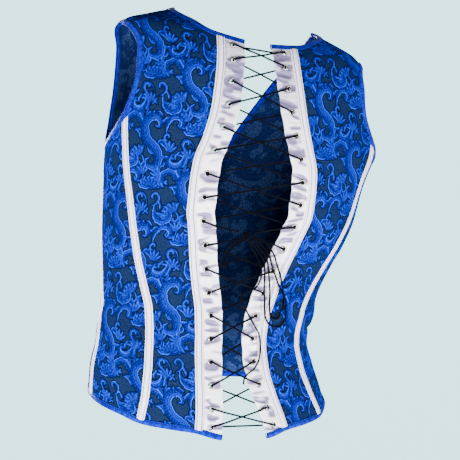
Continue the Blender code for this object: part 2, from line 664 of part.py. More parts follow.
def outerLink(start, end):
    """A strand across the gap outside: over both free edges, and over or under its partner."""
    (startSide, startNumber), (endSide, endNumber) = start, end
    startZ, endZ = eyeletHeights[startNumber - 1], eyeletHeights[endNumber - 1]
    halves = [eyeletInset + float(follow(cut, z)[0]) for z in (startZ, endZ)]
    share = eyeletInset / sum(halves)
    first = edgePlace(startSide, startZ + (endZ - startZ) * share, edgeLift)
    last = edgePlace(endSide, endZ + (startZ - endZ) * share, edgeLift)
    leftNumber = startNumber if startSide > 0 else endNumber
    over = 1 if leftNumber == min(startNumber, endNumber) else -1
    middleZ = (startZ + endZ) / 2
    normal = outward(form, np.array(0.0), np.array(middleZ))
    return [first, (first + last) / 2 + normal * over * crossingLift, last]


def innerLink(startInside, endInside, over, z):
    """A strand across the gap inside, straight but for its partner."""
    normal = outward(form, np.array(0.0), np.array(z))
    return [(startInside + endInside) / 2 + normal * over * crossingLift]


def lacePath(eyelets, knot, knotRise):
    """The lace from the knot through its eyelets, outside and inside by turns, to the knot."""
    points = []
    for place, (side, number) in enumerate(eyelets):
        outside, inside = eyeletEnds(side, number)
        if place == 0:
            z = eyeletHeights[number - 1] + (knot[2] - outside[2]) * 0.25
            points += [knot + (edgePlace(side, z, edgeLift) - knot) * knotShare + [0, 0, knotRise],
                       edgePlace(side, z, edgeLift)]
        enters = place % 2 == 0
        points += [outside, inside] if enters else [inside, outside]
        if place == len(eyelets) - 1:
            z = eyeletHeights[number - 1] + (knot[2] - outside[2]) * 0.25
            points += [edgePlace(side, z, edgeLift),
                       knot + (edgePlace(side, z, edgeLift) - knot) * knotShare + [0, 0, knotRise]]
            continue
        nextSide, nextNumber = eyelets[place + 1]
        if enters:
            over = 0 if number == nextNumber else (1 if (number < nextNumber) == (side > 0) else -1)
            points += innerLink(inside, eyeletEnds(nextSide, nextNumber)[1], over,
                                eyeletHeights[number - 1])
        else:
            points += outerLink((side, number), (nextSide, nextNumber))
    return np.array(points)


def knotPlace():
    """The bow's knot hangs in the gap where four strands meet."""
    return (edgePlace(1, knotHeight, edgeLift) * (1 - knotLean) + edgePlace(-1, knotHeight, edgeLift) * knotLean)


def addCord(name, points):
    """A tube along points, as a curve with filled ends."""
    curve = bpy.data.curves.new(name, "CURVE")
    curve.dimensions = "3D"
    spline = curve.splines.new("POLY")
    spline.points.add(len(points) - 1)
    for point, place in zip(spline.points, points):
        point.co = (*place, 1.0)
    curve.bevel_depth = laceRadius
    curve.bevel_resolution = 2
    curve.use_fill_caps = True
    cord = bpy.data.objects.new(name, curve)
    bpy.context.scene.collection.objects.link(cord)
    cord.data.materials.append(addMaterial(name, "cord"))
    return cord


def smoothRoute(points, spacing):
    """Points evenly spaced along a smooth curve through a route's own points."""
    points = np.array(points, float)
    index = np.arange(len(points))
    length = np.concatenate([[0], np.cumsum(np.linalg.norm(np.diff(points, axis=0), axis=1))])
    tangent = np.gradient(points, length, axis=0)
    dense = np.linspace(0, length[-1], 400)
    i = np.clip(np.searchsorted(length, dense) - 1, 0, len(index) - 2)
    step = (length[i + 1] - length[i])[:, None]
    t = ((dense - length[i])[:, None]) / step
    curve = ((1 + 2 * t) * (1 - t) ** 2 * points[i] + t * (1 - t) ** 2 * step * tangent[i]
             + t * t * (3 - 2 * t) * points[i + 1] + t * t * (t - 1) * step * tangent[i + 1])
    run = np.concatenate([[0], np.cumsum(np.linalg.norm(np.diff(curve, axis=0), axis=1))])
    at = np.linspace(0, run[-1], max(4, int(round(run[-1] / spacing)) + 1))
    return np.column_stack([np.interp(at, run, curve[:, axis]) for axis in range(3)])


def bowRoute(rows, start, end):
    """A cord of the bow: from the knot, along its rows of angle, height and lift, to its end."""
    rows = np.array(rows, float)
    along = lifted(np.radians(rows[:, 0]), rows[:, 1], rows[:, 2])
    points = [start] + list(along) + ([end] if end is not None else [])
    return smoothRoute(points, cordStep)


def buildGarment():
    hem, neck, fronts = [], [], []
    for side, word in ((1, "left"), (-1, "right")):
        back, sideBack, front = backPanel(side), sideBackPanel(side), frontPanel(side)
        placket = placketGrid(side, back[0, :seamRows + armholeRows - neckRows + 1])
        addPlacket("placket_" + word, placket, side)
        addPanel("back_" + word, back, side)
        addPanel("side_back_" + word, sideBack, side)
        addTape("placket_tape_" + word, placket[2:4, 1:-1])
        for seam, near, far in (("side_back", back, sideBack), ("side", sideBack, front)):
            covered = slice(1, seamRows)
            seamLine = (near[-1, covered] + far[0, covered]) / 2
            addTape(seam + "_tape_" + word, [near[-2, covered], seamLine, far[1, covered]])
        for number, z in enumerate(eyeletHeights, 1):
            addEyelet("eyelet_%s_%02d" % (word, number), side, z)

        def joined(*runs):
            """Runs of edge and leg points, with one point where two pieces meet."""
            found = [list(runs[0])]
            whole = list(runs[0])
            for run in runs[1:]:
                whole[-1] = (whole[-1] + run[0]) / 2
                whole += list(run[1:])
            return np.array(whole)

        hemRun = joined(placket[:, 0], back[:, 0], sideBack[:, 0], front[:, 0])
        hemLeg = joined(placket[:, 1], back[:, 1], sideBack[:, 1], front[:, 1])
        neckStart = seamRows + armholeRows - neckRows
        neckRun = joined(placket[:, -1], back[0, neckStart:], front[-1, seamRows:][::-1])
        neckLeg = joined(placket[:, -2], back[1, neckStart:], front[-2, seamRows:][::-1])
        neckLeg[3], neckLeg[-1] = placket[-1, -2], front[-1, seamRows - 1]
        fronts.append(front)
        hem.append((hemRun, hemLeg))
        neck.append((neckRun, neckLeg))
        armRun = joined(back[-1, seamRows:], front[0, seamRows:][::-1], sideBack[::-1, -1])
        armLeg = joined(back[-2, seamRows:], front[1, seamRows:][::-1], sideBack[::-1, -2])
        armRun[0], armLeg[0] = (armRun[0] + armRun[-1]) / 2, (armLeg[0] + armLeg[-1]) / 2
        armLeg[2 * armholeRows] = sideBack[-1, -2]
        addBinding("armhole_binding_" + word, armRun[:-1], armLeg[:-1], True, [2 * armholeRows])
    addFront("front", *fronts)
    for name, runs, corners in (("hem_binding", hem, []), ("neck_binding", neck, [len(neck[0][0]) - 1])):
        (leftRun, leftLeg), (rightRun, rightLeg) = runs
        edge = np.vstack([leftRun[:-1], np.array([[pi, leftRun[-1, 1]]]), rightRun[:-1][::-1]])
        leg = np.vstack([leftLeg[:-1], np.array([[pi, leftLeg[-1, 1]]]), rightLeg[:-1][::-1]])
        addBinding(name, edge, leg, False, corners)


def buildLacing():
    knot = knotPlace()
    upper = [(1, 9), (-1, 8), (1, 7), (-1, 6), (1, 5), (-1, 4), (1, 3), (-1, 2), (1, 1),
             (-1, 1), (1, 2), (-1, 3), (1, 4), (-1, 5), (1, 6), (-1, 7), (1, 8), (-1, 9)]
    lower = [(1, 10), (-1, 11), (1, 12), (-1, 13), (1, 14), (-1, 15), (1, 16), (-1, 17), (1, 18),
             (-1, 18), (1, 17), (-1, 16), (1, 15), (-1, 14), (1, 13), (-1, 12), (1, 11), (-1, 10)]
    addCord("lace_upper", lacePath(upper, knot, 0.0016))
    addCord("lace_lower", lacePath(lower, knot, -0.0016))
    mesh = bpy.data.meshes.new("bow_knot")
    build = bmesh.new()
    bmesh.ops.create_uvsphere(build, u_segments=10, v_segments=7, radius=1.0)
    for vert in build.verts:
        vert.co.x, vert.co.y, vert.co.z = (vert.co.x * knotSize[0], vert.co.y * knotSize[1],
                                           vert.co.z * knotSize[2])
        vert.co += type(vert.co)(knot)
    build.to_mesh(mesh)
    build.free()
    mesh.shade_smooth()
    piece = bpy.data.objects.new("bow_knot", mesh)
    bpy.context.scene.collection.objects.link(piece)
    piece.data.materials.append(addMaterial("bow_knot", "cord"))
    for name, (rows, startOff, endOff) in bowCords.items():
        end = None if endOff is None else knot + np.array(endOff)
        addCord(name, bowRoute(rows, knot + np.array(startOff), end))


buildGarment()
buildLacing()
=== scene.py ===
# Corset vest laced at the centre back: the cloth, trims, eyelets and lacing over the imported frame.
import bpy
import numpy as np
from itertools import product
from math import pi
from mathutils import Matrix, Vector


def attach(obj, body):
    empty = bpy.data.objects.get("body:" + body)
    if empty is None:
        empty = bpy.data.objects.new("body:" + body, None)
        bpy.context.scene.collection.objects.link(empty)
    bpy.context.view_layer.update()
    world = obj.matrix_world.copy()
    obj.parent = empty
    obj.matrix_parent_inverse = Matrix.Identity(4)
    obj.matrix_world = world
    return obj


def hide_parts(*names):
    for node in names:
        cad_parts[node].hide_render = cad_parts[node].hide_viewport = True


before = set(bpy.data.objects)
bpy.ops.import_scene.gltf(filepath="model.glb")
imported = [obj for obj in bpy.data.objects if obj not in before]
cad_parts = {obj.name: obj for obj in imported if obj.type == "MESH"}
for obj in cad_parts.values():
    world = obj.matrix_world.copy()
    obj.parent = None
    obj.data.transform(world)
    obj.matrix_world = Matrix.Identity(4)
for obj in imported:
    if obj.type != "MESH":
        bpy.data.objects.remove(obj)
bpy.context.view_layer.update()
print("frame loaded")

# The worn form, a ring for each height, in metres and degrees, as in the frame: z, centre x and y,
# half width, depth of the back and of the front, twist, roll
sections = [
    (0.012, 0.000, 0.000, 0.062, 0.010, 0.008, 7.0, 10.0),
    (0.000, 0.000, 0.000, 0.100, 0.036, 0.026, 7.0, 10.0),
    (-0.012, 0.000, 0.000, 0.134, 0.056, 0.040, 7.0, 10.0),
    (-0.025, 0.001, 0.000, 0.164, 0.072, 0.052, 7.0, 10.0),
    (-0.045, 0.002, -0.001, 0.177, 0.088, 0.066, 7.0, 9.0),
    (-0.090, 0.004, -0.002, 0.182, 0.106, 0.090, 7.0, 8.0),
    (-0.150, 0.007, -0.003, 0.185, 0.117, 0.110, 7.0, 7.5),
    (-0.210, 0.013, -0.004, 0.185, 0.121, 0.120, 7.0, 6.5),
    (-0.260, 0.018, -0.006, 0.182, 0.119, 0.120, 7.0, 5.5),
    (-0.305, 0.027, -0.008, 0.175, 0.113, 0.116, 6.0, 4.5),
    (-0.340, 0.036, -0.010, 0.166, 0.109, 0.112, 4.5, 3.5),
    (-0.380, 0.046, -0.012, 0.158, 0.106, 0.108, 2.0, 3.0),
    (-0.415, 0.053, -0.012, 0.154, 0.104, 0.105, 0.0, 3.0),
    (-0.450, 0.059, -0.011, 0.155, 0.105, 0.106, -2.0, 3.0),
    (-0.480, 0.059, -0.009, 0.163, 0.109, 0.110, -2.0, 3.0),
    (-0.512, 0.056, -0.007, 0.170, 0.114, 0.115, -2.0, 3.0),
    (-0.545, 0.052, -0.006, 0.175, 0.120, 0.119, -2.0, 3.0),
    (-0.590, 0.049, -0.005, 0.180, 0.126, 0.123, -2.0, 3.0),
]
squareness = 0.03

# The cut: distances along the ring from the centre back, the same on both sides
cutColumns = ("z", "halfGap", "sideBackSeam", "sideSeam")
cut = [
    (-0.025, 0.0195, 0.1960, 0.2640),
    (-0.060, 0.0215, 0.1960, 0.2640),
    (-0.090, 0.0250, 0.1960, 0.2640),
    (-0.130, 0.0310, 0.1960, 0.2640),
    (-0.165, 0.0400, 0.1945, 0.2640),
    (-0.200, 0.0505, 0.1890, 0.2640),
    (-0.230, 0.0525, 0.1820, 0.2610),
    (-0.262, 0.0520, 0.1720, 0.2560),
    (-0.290, 0.0450, 0.1620, 0.2490),
    (-0.335, 0.0335, 0.1440, 0.2350),
    (-0.365, 0.0255, 0.1310, 0.2230),
    (-0.400, 0.0175, 0.1190, 0.2150),
    (-0.435, 0.0150, 0.1160, 0.2150),
    (-0.470, 0.0165, 0.1190, 0.2220),
    (-0.510, 0.0220, 0.1290, 0.2340),
    (-0.545, 0.0295, 0.1430, 0.2450),
    (-0.590, 0.0400, 0.1560, 0.2540),
]

# Outlines of the cut: degrees round from the centre back, and height
hemLine = [(0, -0.5735), (12, -0.5700), (23, -0.5610), (35, -0.5565), (48, -0.5520), (62, -0.5420),
           (80, -0.5345), (99, -0.5275), (120, -0.5230), (150, -0.5230), (180, -0.5230)]
backNeckLine = [(0, -0.0325), (7, -0.0315), (20, -0.0265), (36, -0.0145), (63, -0.0045), (90, 0.0)]
frontNeckLine = [(180, -0.200), (174, -0.170), (165, -0.118), (156, -0.070), (148, -0.036),
                 (135, -0.0135), (114, -0.0035), (90, 0.0)]
underarmLine = [(60, -0.140), (66, -0.152), (76, -0.175), (88, -0.192), (99, -0.200), (110, -0.203)]
backArmholeLine = [(66, -0.152), (60, -0.122), (57, -0.090), (57, -0.062), (61, -0.0435),
                   (75, -0.0315), (90, -0.0295)]
frontArmholeLine = [(99, -0.200), (104, -0.190), (109.5, -0.172), (113, -0.148), (115, -0.118),
                    (114, -0.088), (110, -0.058), (102, -0.038), (90, -0.0295)]
yokeHeight = -0.1518571
bustHeight = -0.200

# Large folds of the worn form: degrees, height, reach each way, rise
folds = [
    (-76, -0.160, 20, 0.045, 0.0150),
    (-62, -0.075, 12, 0.040, 0.0060),
    (-36, -0.405, 13, 0.024, 0.0030),
    (-74, -0.412, 15, 0.017, 0.0052),
    (-72, -0.440, 14, 0.016, 0.0016),
    (-27, -0.385, 10, 0.018, 0.0025),
    (96, -0.042, 14, 0.014, 0.0060),
    (40, -0.405, 16, 0.014, 0.0015),
]

# Creases of the worn cloth: from one place to another, half width and rise, troughs below zero
creases = [
    (-18, -0.402, -42, -0.384, 0.0042, -0.0030),
    (-30, -0.412, -72, -0.402, 0.0050, 0.0018),
    (-52, -0.440, -84, -0.420, 0.0042, -0.0026),
    (-14, -0.368, -34, -0.352, 0.0045, -0.0020),
    (-34, -0.446, -64, -0.450, 0.0055, 0.0010),
    (-22, -0.350, -42, -0.372, 0.0060, 0.0010),
    (26, -0.060, 52, -0.108, 0.0075, 0.0012),
    (34, -0.050, 58, -0.086, 0.0050, -0.0012),
    (20, -0.398, 60, -0.410, 0.0060, -0.0009),
    (26, -0.416, 70, -0.428, 0.0050, 0.0008),
    (64, -0.380, 98, -0.398, 0.0070, -0.0012),
    (70, -0.412, 104, -0.420, 0.0060, 0.0010),
    (-72, -0.395, -110, -0.405, 0.0060, -0.0018),
    (-78, -0.430, -116, -0.424, 0.0055, -0.0014),
    (112, -0.150, 138, -0.200, 0.0090, 0.0018),
    (-112, -0.155, -136, -0.205, 0.0090, 0.0018),
    (118, -0.392, 170, -0.404, 0.0070, -0.0014),
    (-120, -0.408, -172, -0.398, 0.0065, -0.0014),
    (128, -0.430, 176, -0.424, 0.0060, 0.0010),
]

# A crease's run for a degree, how it wanders off its line, and where along it fades
creasing = {"perDegree": 0.0026, "wander": 0.0035, "bends": 4.0, "fadeReach": 0.42}
# Where the side-back bones begin to hold the folds flat: height, fade, degrees and share
bones = {"top": -0.31, "fade": 0.04, "reach": 5.5, "hold": 0.85}

placketWidth = 0.0385
eyeletInset = 0.016
clothWall = 0.0016
bothSides = ((1, "left"), (-1, "right"))
topEyelets = (-0.0400, -0.0600)
evenEyelets = (-0.0890, -0.5290, 15)
lowEyelet = -0.5535
eyeletHeights = list(topEyelets) + list(np.linspace(*evenEyelets)) + [lowEyelet]


# Rows by rising first column
def table(rows):
    found = np.array(rows, float)
    return found[np.argsort(found[:, 0])]


# Vectors at length one
def unit(vectors):
    return vectors / np.linalg.norm(vectors, axis=-1, keepdims=True)


# Length along a line of points, from zero at the first
def runLength(points):
    return np.concatenate([[0], np.cumsum(np.linalg.norm(np.diff(points, axis=0), axis=1))])


# A line's rows at given lengths along it, straight between two rows
def rowsAt(at, run, rows):
    return np.stack([np.interp(at, run, column) for column in rows.T], axis=-1)


# Cubic between two values with their slopes, at a share t of a step of length h
def cubic(t, h, first, last, firstSlope, lastSlope):
    return ((1 + 2 * t) * (1 - t) ** 2 * first + t * (1 - t) ** 2 * h * firstSlope
            + t * t * (3 - 2 * t) * last + t * t * (t - 1) * h * lastSlope)


# Smooth curve through a table's rows that never overshoots them: cubic between rows, its slopes
# the weighted harmonic means of the slopes on either side
def follow(rows, at):
    rows = table(rows)
    key, value = rows[:, 0], rows[:, 1:]
    at = np.clip(np.asarray(at, float), key[0], key[-1])
    step = np.diff(key)
    rise = np.diff(value, axis=0) / step[:, None]
    slope = np.zeros_like(value)
    slope[0], slope[-1] = rise[0], rise[-1]
    before, after = 2 * step[1:] + step[:-1], step[1:] + 2 * step[:-1]
    turns = rise[:-1] * rise[1:] <= 0
    safeA, safeB = np.where(turns, 1, rise[:-1]), np.where(turns, 1, rise[1:])
    blend = (before + after)[:, None] / (before[:, None] / safeA + after[:, None] / safeB)
    slope[1:-1] = np.where(turns, 0, blend)
    i = np.clip(np.searchsorted(key, at) - 1, 0, len(key) - 2)
    t = ((at - key[i]) / step[i])[..., None]
    return cubic(t, step[i][..., None], value[i], value[i + 1], slope[i], slope[i + 1])


# Rows on that curve through given rows, with a number of pieces between two of them
def curveThrough(rows, pieces):
    rows = np.array(rows, float)
    last = len(rows) - 1
    return follow(np.column_stack([np.arange(last + 1), rows]), np.linspace(0, last, pieces * last + 1))


# Two values as arrays of one shape
def paired(first, second):
    return np.broadcast_arrays(np.asarray(first, float), np.asarray(second, float))


# The worn form without folds: an ellipse for each height, wider at its diagonals, turned by the
# twist and sheared by the roll
def ring(angle, z):
    angle, z = paired(angle, z)
    centreX, centreY, half, back, front, twist, roll = np.moveaxis(follow(sections, z), -1, 0)
    twist, roll = np.radians(twist), np.radians(roll)
    swell = 1 + squareness * np.sin(2 * angle) ** 2
    across = half * np.sin(angle) * swell
    along = np.where(np.cos(angle) >= 0, back, front) * np.cos(angle) * swell
    x = across * np.cos(twist) + along * np.sin(twist)
    y = along * np.cos(twist) - across * np.sin(twist)
    return np.stack([x + centreX, y + centreY, z + x * np.tan(roll)], axis=-1)


# Unit normal of a surface, from the differences across a small step each way
def outward(surface, angle, z):
    small = 0.0005
    alongAngle = surface(angle + small * 4, z) - surface(angle - small * 4, z)
    alongZ = surface(angle, z + small) - surface(angle, z - small)
    return unit(np.cross(alongZ, alongAngle))


# Rise of the folds and creases: bell curves about a place, and about a stretch of line that
# fades towards its ends; at the waist the bones under the side-back tapes keep them flat
def foldRise(angle, z):
    rise = np.zeros(np.shape(angle))
    degrees = np.degrees(angle)
    for foldAngle, foldZ, angleReach, zReach, height in folds:
        off = ((degrees - foldAngle) / angleReach) ** 2 + ((z - foldZ) / zReach) ** 2
        rise = rise + height * np.exp(-off)
    perDegree = creasing["perDegree"]
    for angleA, zA, angleB, zB, halfWidth, height in creases:
        runX, runZ = (angleB - angleA) * perDegree, zB - zA
        length = np.hypot(runX, runZ)
        x, y = (degrees - angleA) * perDegree, z - zA
        along = (x * runX + y * runZ) / length ** 2
        bend = creasing["wander"] * np.sin(along * creasing["bends"] + angleA)
        off = (x * runZ - y * runX) / length + bend
        fade = np.exp(-((along - 0.5) / creasing["fadeReach"]) ** 4)
        rise = rise + height * fade * np.exp(-(off / halfWidth) ** 2)
    below = np.clip((bones["top"] - z) / bones["fade"], 0, 1)
    for line in boneDegrees:
        off = (degrees - np.interp(z, levelHeights, line)) / bones["reach"]
        rise = rise * (1 - bones["hold"] * below * np.exp(-off ** 2))
    return rise


# Outer face of the cloth: the rings moved out by the folds
def form(angle, z):
    angle, z = paired(angle, z)
    return ring(angle, z) + outward(ring, angle, z) * foldRise(angle, z)[..., None]


# Points of the outer face, moved out by a height
def lifted(angle, z, height=0.0):
    angle, z = paired(angle, z)
    return form(angle, z) + outward(form, angle, z) * np.asarray(height, float)[..., None]


# Lengths round each ring from the centre back, and lengths up the cloth, in tables
roundAngles = np.linspace(-pi, pi, 721)
levelHeights = np.linspace(-0.592, 0.012, 243)
levelRings = ring(roundAngles[None, :], levelHeights[:, None])
roundLength = np.zeros(levelRings.shape[:2])
roundLength[:, 1:] = np.cumsum(np.linalg.norm(np.diff(levelRings, axis=1), axis=2), axis=1)
roundLength -= roundLength[:, 360:361]
upLength = np.zeros(levelRings.shape[:2])
upLength[1:] = np.cumsum(np.linalg.norm(np.diff(levelRings, axis=0), axis=2), axis=0)
evenLengths = np.linspace(-0.62, 0.62, 1241)
angleOfLength = np.array([np.interp(evenLengths, row, roundAngles) for row in roundLength])


# Value between four places of a table, linear both ways
def amongFour(values, i0, j0, i1, j1, u, v):
    return ((1 - u) * (1 - v) * values[i0, j0] + (1 - u) * v * values[i0, j1]
            + u * (1 - v) * values[i1, j0] + u * v * values[i1, j1])


# Value of a table of the form at a height and at a place of its columns
def readTable(values, columns, at, z):
    at, z = paired(at, z)
    i = np.clip((z - levelHeights[0]) / (levelHeights[1] - levelHeights[0]), 0, len(levelHeights) - 1.001)
    j = np.clip((at - columns[0]) / (columns[1] - columns[0]), 0, len(columns) - 1.001)
    i0, j0 = i.astype(int), j.astype(int)
    return amongFour(values, i0, j0, i0 + 1, j0 + 1, i - i0, j - j0)


# Angle at a distance round the ring of a height
def angleAt(distance, z):
    return readTable(angleOfLength, evenLengths, distance, z)


# Angle of a line of the cut on one side, with extra metres away from the centre back
def seamAngle(column, z, side, extra=0.0):
    distance = follow(cut, z)[..., cutColumns.index(column) - 1] + extra
    return angleAt(side * distance, z)


# Degrees of the two side-back seams at each height
boneDegrees = [np.degrees(seamAngle("sideBackSeam", levelHeights, side)) for side in (1, -1)]


# Points evenly spaced by length along an outline
def alongLine(line, side, count):
    line = curveThrough(line, 40) * [side, 1]
    line[:, 0] = np.radians(line[:, 0])
    length = runLength(ring(*line.T))
    return rowsAt(np.linspace(0, length[-1], count), length, line)


# Height of an outline at an angle, the same on both sides
def lineHeight(line, angle):
    return follow(line, np.abs(np.degrees(angle)))[..., 0]


# The back neckline from a corner on, its own places only past some degrees
def neckFrom(corner, past):
    return [(np.degrees(abs(corner[0])), corner[1])] + [place for place in backNeckLine if place[0] > past]


# Where a line beside the lacing gap meets the back neckline
def neckCorner(side, extra):
    z = np.array(-0.028)
    for repeat in range(8):
        angle = seamAngle("halfGap", z, side, extra)
        z = lineHeight(backNeckLine, angle)
    return float(angle), float(z)


print("form ready")

# Colours and meshes


# sRGB hex to linear
def hexColour(text, alpha=1.0):
    parts = [int(text[i:i + 2], 16) / 255 for i in (1, 3, 5)]
    return tuple(p / 12.92 if p <= 0.04045 else ((p + 0.055) / 1.055) ** 2.4 for p in parts) + (alpha,)


# Adds a node with its settings, and its inputs as links from other sockets, hex colours or values
def addNode(tree, kind, settings=None, inputs=None):
    node = tree.nodes.new(kind)
    for key, value in (settings or {}).items():
        setattr(node, key, value)
    for key, value in (inputs or {}).items():
        if isinstance(value, bpy.types.NodeSocket):
            tree.links.new(value, node.inputs[key])
        else:
            node.inputs[key].default_value = hexColour(value) if isinstance(value, str) else value
    return node


# Steps from one value to another, smoothly, between two places of a socket
def ramp(tree, value, low, high, start=0.0, end=1.0):
    node = addNode(tree, "ShaderNodeMapRange", {"interpolation_type": "SMOOTHSTEP"},
                   {"Value": value, "From Min": low, "From Max": high, "To Min": start, "To Max": end})
    return node.outputs["Result"]


# Mix of two colours by a factor
def mixColour(tree, factor, first, second):
    node = addNode(tree, "ShaderNodeMix", {"data_type": "RGBA"}, {"Factor": factor, 6: first, 7: second})
    return node.outputs[2]


# One arithmetic step on sockets or numbers
def mathNode(tree, operation, first, second=0.0, third=0.0):
    node = addNode(tree, "ShaderNodeMath", {"operation": operation}, {0: first, 1: second, 2: third})
    return node.outputs[0]


# A step up less a later step up: one between a rising and a falling stretch of a socket
def bandOf(tree, value, rise, fall):
    return mathNode(tree, "SUBTRACT", ramp(tree, value, *rise), ramp(tree, value, *fall))


# A value that a mesh holds at its points
def named(tree, name):
    return addNode(tree, "ShaderNodeAttribute", {"attribute_name": name}).outputs["Fac"]


# The cloth's own UV, in metres
def clothMap(tree):
    return addNode(tree, "ShaderNodeUVMap", {"uv_map": "cloth"}).outputs["UV"]


# The two parts of the cloth's own UV
def clothParts(tree):
    parts = addNode(tree, "ShaderNodeSeparateXYZ", None, {"Vector": clothMap(tree)})
    return parts.outputs["X"], parts.outputs["Y"]


# Noise over the cloth's own UV, stretched by a pair of scales in mm
def clothNoise(tree, alongX, alongY, detail=2.0, seed=0.0):
    mapping = addNode(tree, "ShaderNodeMapping", None,
                      {"Vector": clothMap(tree), "Location": (seed, seed * 0.7, seed),
                       "Scale": (1000 / alongX, 1000 / alongY, 1.0)})
    noise = addNode(tree, "ShaderNodeTexNoise", {"noise_dimensions": "3D"},
                    {"Vector": mapping.outputs["Vector"], "Scale": 1.0, "Detail": detail,
                     "Roughness": 0.55})
    return noise.outputs["Fac"]


# A material with its constants on the shader's sockets; its tint colours sheen and gleam alike
def newMaterial(name, roughness, sheen=0.0, tint="#ffffff", gloss=0.5):
    material = bpy.data.materials.new(name)
    material.use_nodes = True
    values = {"Roughness": roughness, "Sheen Weight": sheen, "Sheen Tint": hexColour(tint),
              "Specular Tint": hexColour(tint), "Specular IOR Level": gloss}
    for key, value in values.items():
        material.node_tree.nodes["Principled BSDF"].inputs[key].default_value = value
    return material


# Joins a colour, a height as bump and, where one is given, a roughness to a material's shader
def finished(material, colour, height, distance, strength, roughness=None):
    tree = material.node_tree
    bump = addNode(tree, "ShaderNodeBump", None,
                   {"Height": height, "Distance": distance, "Strength": strength})
    joins = {"Base Color": colour, "Normal": bump.outputs["Normal"], "Roughness": roughness}
    for key, socket in joins.items():
        if socket is not None:
            tree.links.new(socket, tree.nodes["Principled BSDF"].inputs[key])
    return material


# A mesh object from points and quads, with its UV map and named values at its points
def makeMesh(name, points, quads, materials, slots=None, uv=None, fields=None):
    mesh = bpy.data.meshes.new(name)
    mesh.from_pydata(points.tolist(), [], quads if isinstance(quads, list) else quads.tolist())
    for material in materials:
        mesh.materials.append(material)
    mesh.polygons.foreach_set("use_smooth", np.ones(len(mesh.polygons), bool))
    if slots is not None:
        mesh.polygons.foreach_set("material_index", np.asarray(slots, np.int32))
    corner = np.empty(len(mesh.loops), np.int32)
    mesh.loops.foreach_get("vertex_index", corner)
    if uv is not None:
        mesh.uv_layers.new(name="cloth").data.foreach_set("uv", np.asarray(uv, np.float32)[corner].ravel())
    for key, value in (fields or {}).items():
        mesh.attributes.new(key, "FLOAT", "POINT").data.foreach_set("value", np.asarray(value, np.float32))
    mesh.update()
    piece = bpy.data.objects.new(name, mesh)
    bpy.context.scene.collection.objects.link(piece)
    return piece


# Quads of a grid whose rows run fastest
def gridQuads(columns, rows, closedColumns=False, closedRows=False):
    i, j = np.meshgrid(np.arange(columns if closedColumns else columns - 1),
                       np.arange(rows if closedRows else rows - 1), indexing="ij")
    a, b = i * rows + j, (i + 1) % columns * rows + j
    c, d = (i + 1) % columns * rows + (j + 1) % rows, i * rows + (j + 1) % rows
    return np.stack([a, b, c, d], axis=-1).reshape(-1, 4)


# Turns quads to face along the given normals
def facing(quads, points, normals):
    p = points[quads]
    way = np.cross(p[:, 2] - p[:, 0], p[:, 3] - p[:, 1])
    if np.sum(way * normals[quads[:, 0]]) < 0:
        return quads[:, ::-1]
    return quads


# A wall of cloth: an outer and an inner layer of the same grid, joined round every open edge
def makeShell(name, outer, inner, normals, quads, materials, uv, fields=None):
    count = len(outer)
    quads = facing(quads, outer, normals)
    starts, ends = quads.ravel(), np.roll(quads, -1, axis=1).ravel()
    single = ~np.isin(starts * count + ends, ends * count + starts)
    a, b = starts[single], ends[single]
    rim = np.column_stack([b, a, a + count, b + count])
    faces = np.vstack([quads, quads[:, ::-1] + count, rim])
    slots = np.concatenate([np.zeros(len(quads)), np.ones(len(quads) + len(rim))])
    doubled = {key: np.concatenate([value, value]) for key, value in (fields or {}).items()}
    return makeMesh(name, np.vstack([outer, inner]), faces, materials, slots, np.vstack([uv, uv]), doubled)


# Every other row and column of a grid, in one list
def thinned(values):
    return values[::2, ::2].reshape(-1, *values.shape[2:])


# The numbers round the border of a grid
def borderOf(grid):
    return np.concatenate([grid[:-1, 0], grid[-1, :-1], grid[:0:-1, -1], grid[0, :0:-1]])


# The same wall with every other row and column left out inside, its rim in five-sided faces
def makeFineShell(name, outer, inner, normals, materials, uv, fields):
    columns, rows = outer.shape[:2]
    points = outer.reshape(-1, 3)
    quads = facing(gridQuads(columns, rows), points, normals.reshape(-1, 3))
    halves = (columns + 1) // 2, (rows + 1) // 2
    insideQuads = gridQuads(*halves) + columns * rows
    edge = borderOf(np.arange(columns * rows).reshape(columns, rows))
    insideEdge = borderOf(np.arange(halves[0] * halves[1]).reshape(halves)) + columns * rows
    rim = np.column_stack([edge[::2], edge[1::2], np.roll(edge, -2)[::2],
                           np.roll(insideEdge, -1), insideEdge])
    if quads[0, 0] == 0:
        insideQuads, rim = insideQuads[:, ::-1], rim[:, ::-1]
    faces = quads.tolist() + insideQuads.tolist() + rim.tolist()
    slots = np.concatenate([np.zeros(len(quads)), np.ones(len(insideQuads) + len(rim))])
    fields = {key: np.concatenate([value.ravel(), thinned(value)]) for key, value in fields.items()}
    return makeMesh(name, np.vstack([points, thinned(inner)]), faces, materials, slots,
                    np.vstack([uv.reshape(-1, 2), thinned(uv)]), fields)


# Joins parts, each its points and its quads, in one
def joined(parts):
    starts = np.cumsum([0] + [len(points) for points, quads in parts])
    return (np.vstack([points for points, quads in parts]),
            np.vstack([quads + start for (points, quads), start in zip(parts, starts)]))


# A tube along points: circles square to a frame carried along without twisting
def tubeGrid(points, radius, sides):
    tangent = unit(np.gradient(points, axis=0))
    across = np.empty_like(points)
    across[0] = unit(np.cross(tangent[0], [0.3, 0.2, 1.0]))
    for i in range(1, len(points)):
        across[i] = unit(across[i - 1] - tangent[i] * (across[i - 1] @ tangent[i]))
    up = np.cross(tangent, across)
    turn = np.arange(sides) * 2 * pi / sides
    radius = np.broadcast_to(radius, (len(points),))[:, None, None]
    return points[:, None] + radius * (across[:, None] * np.cos(turn)[None, :, None]
                                       + up[:, None] * np.sin(turn)[None, :, None])


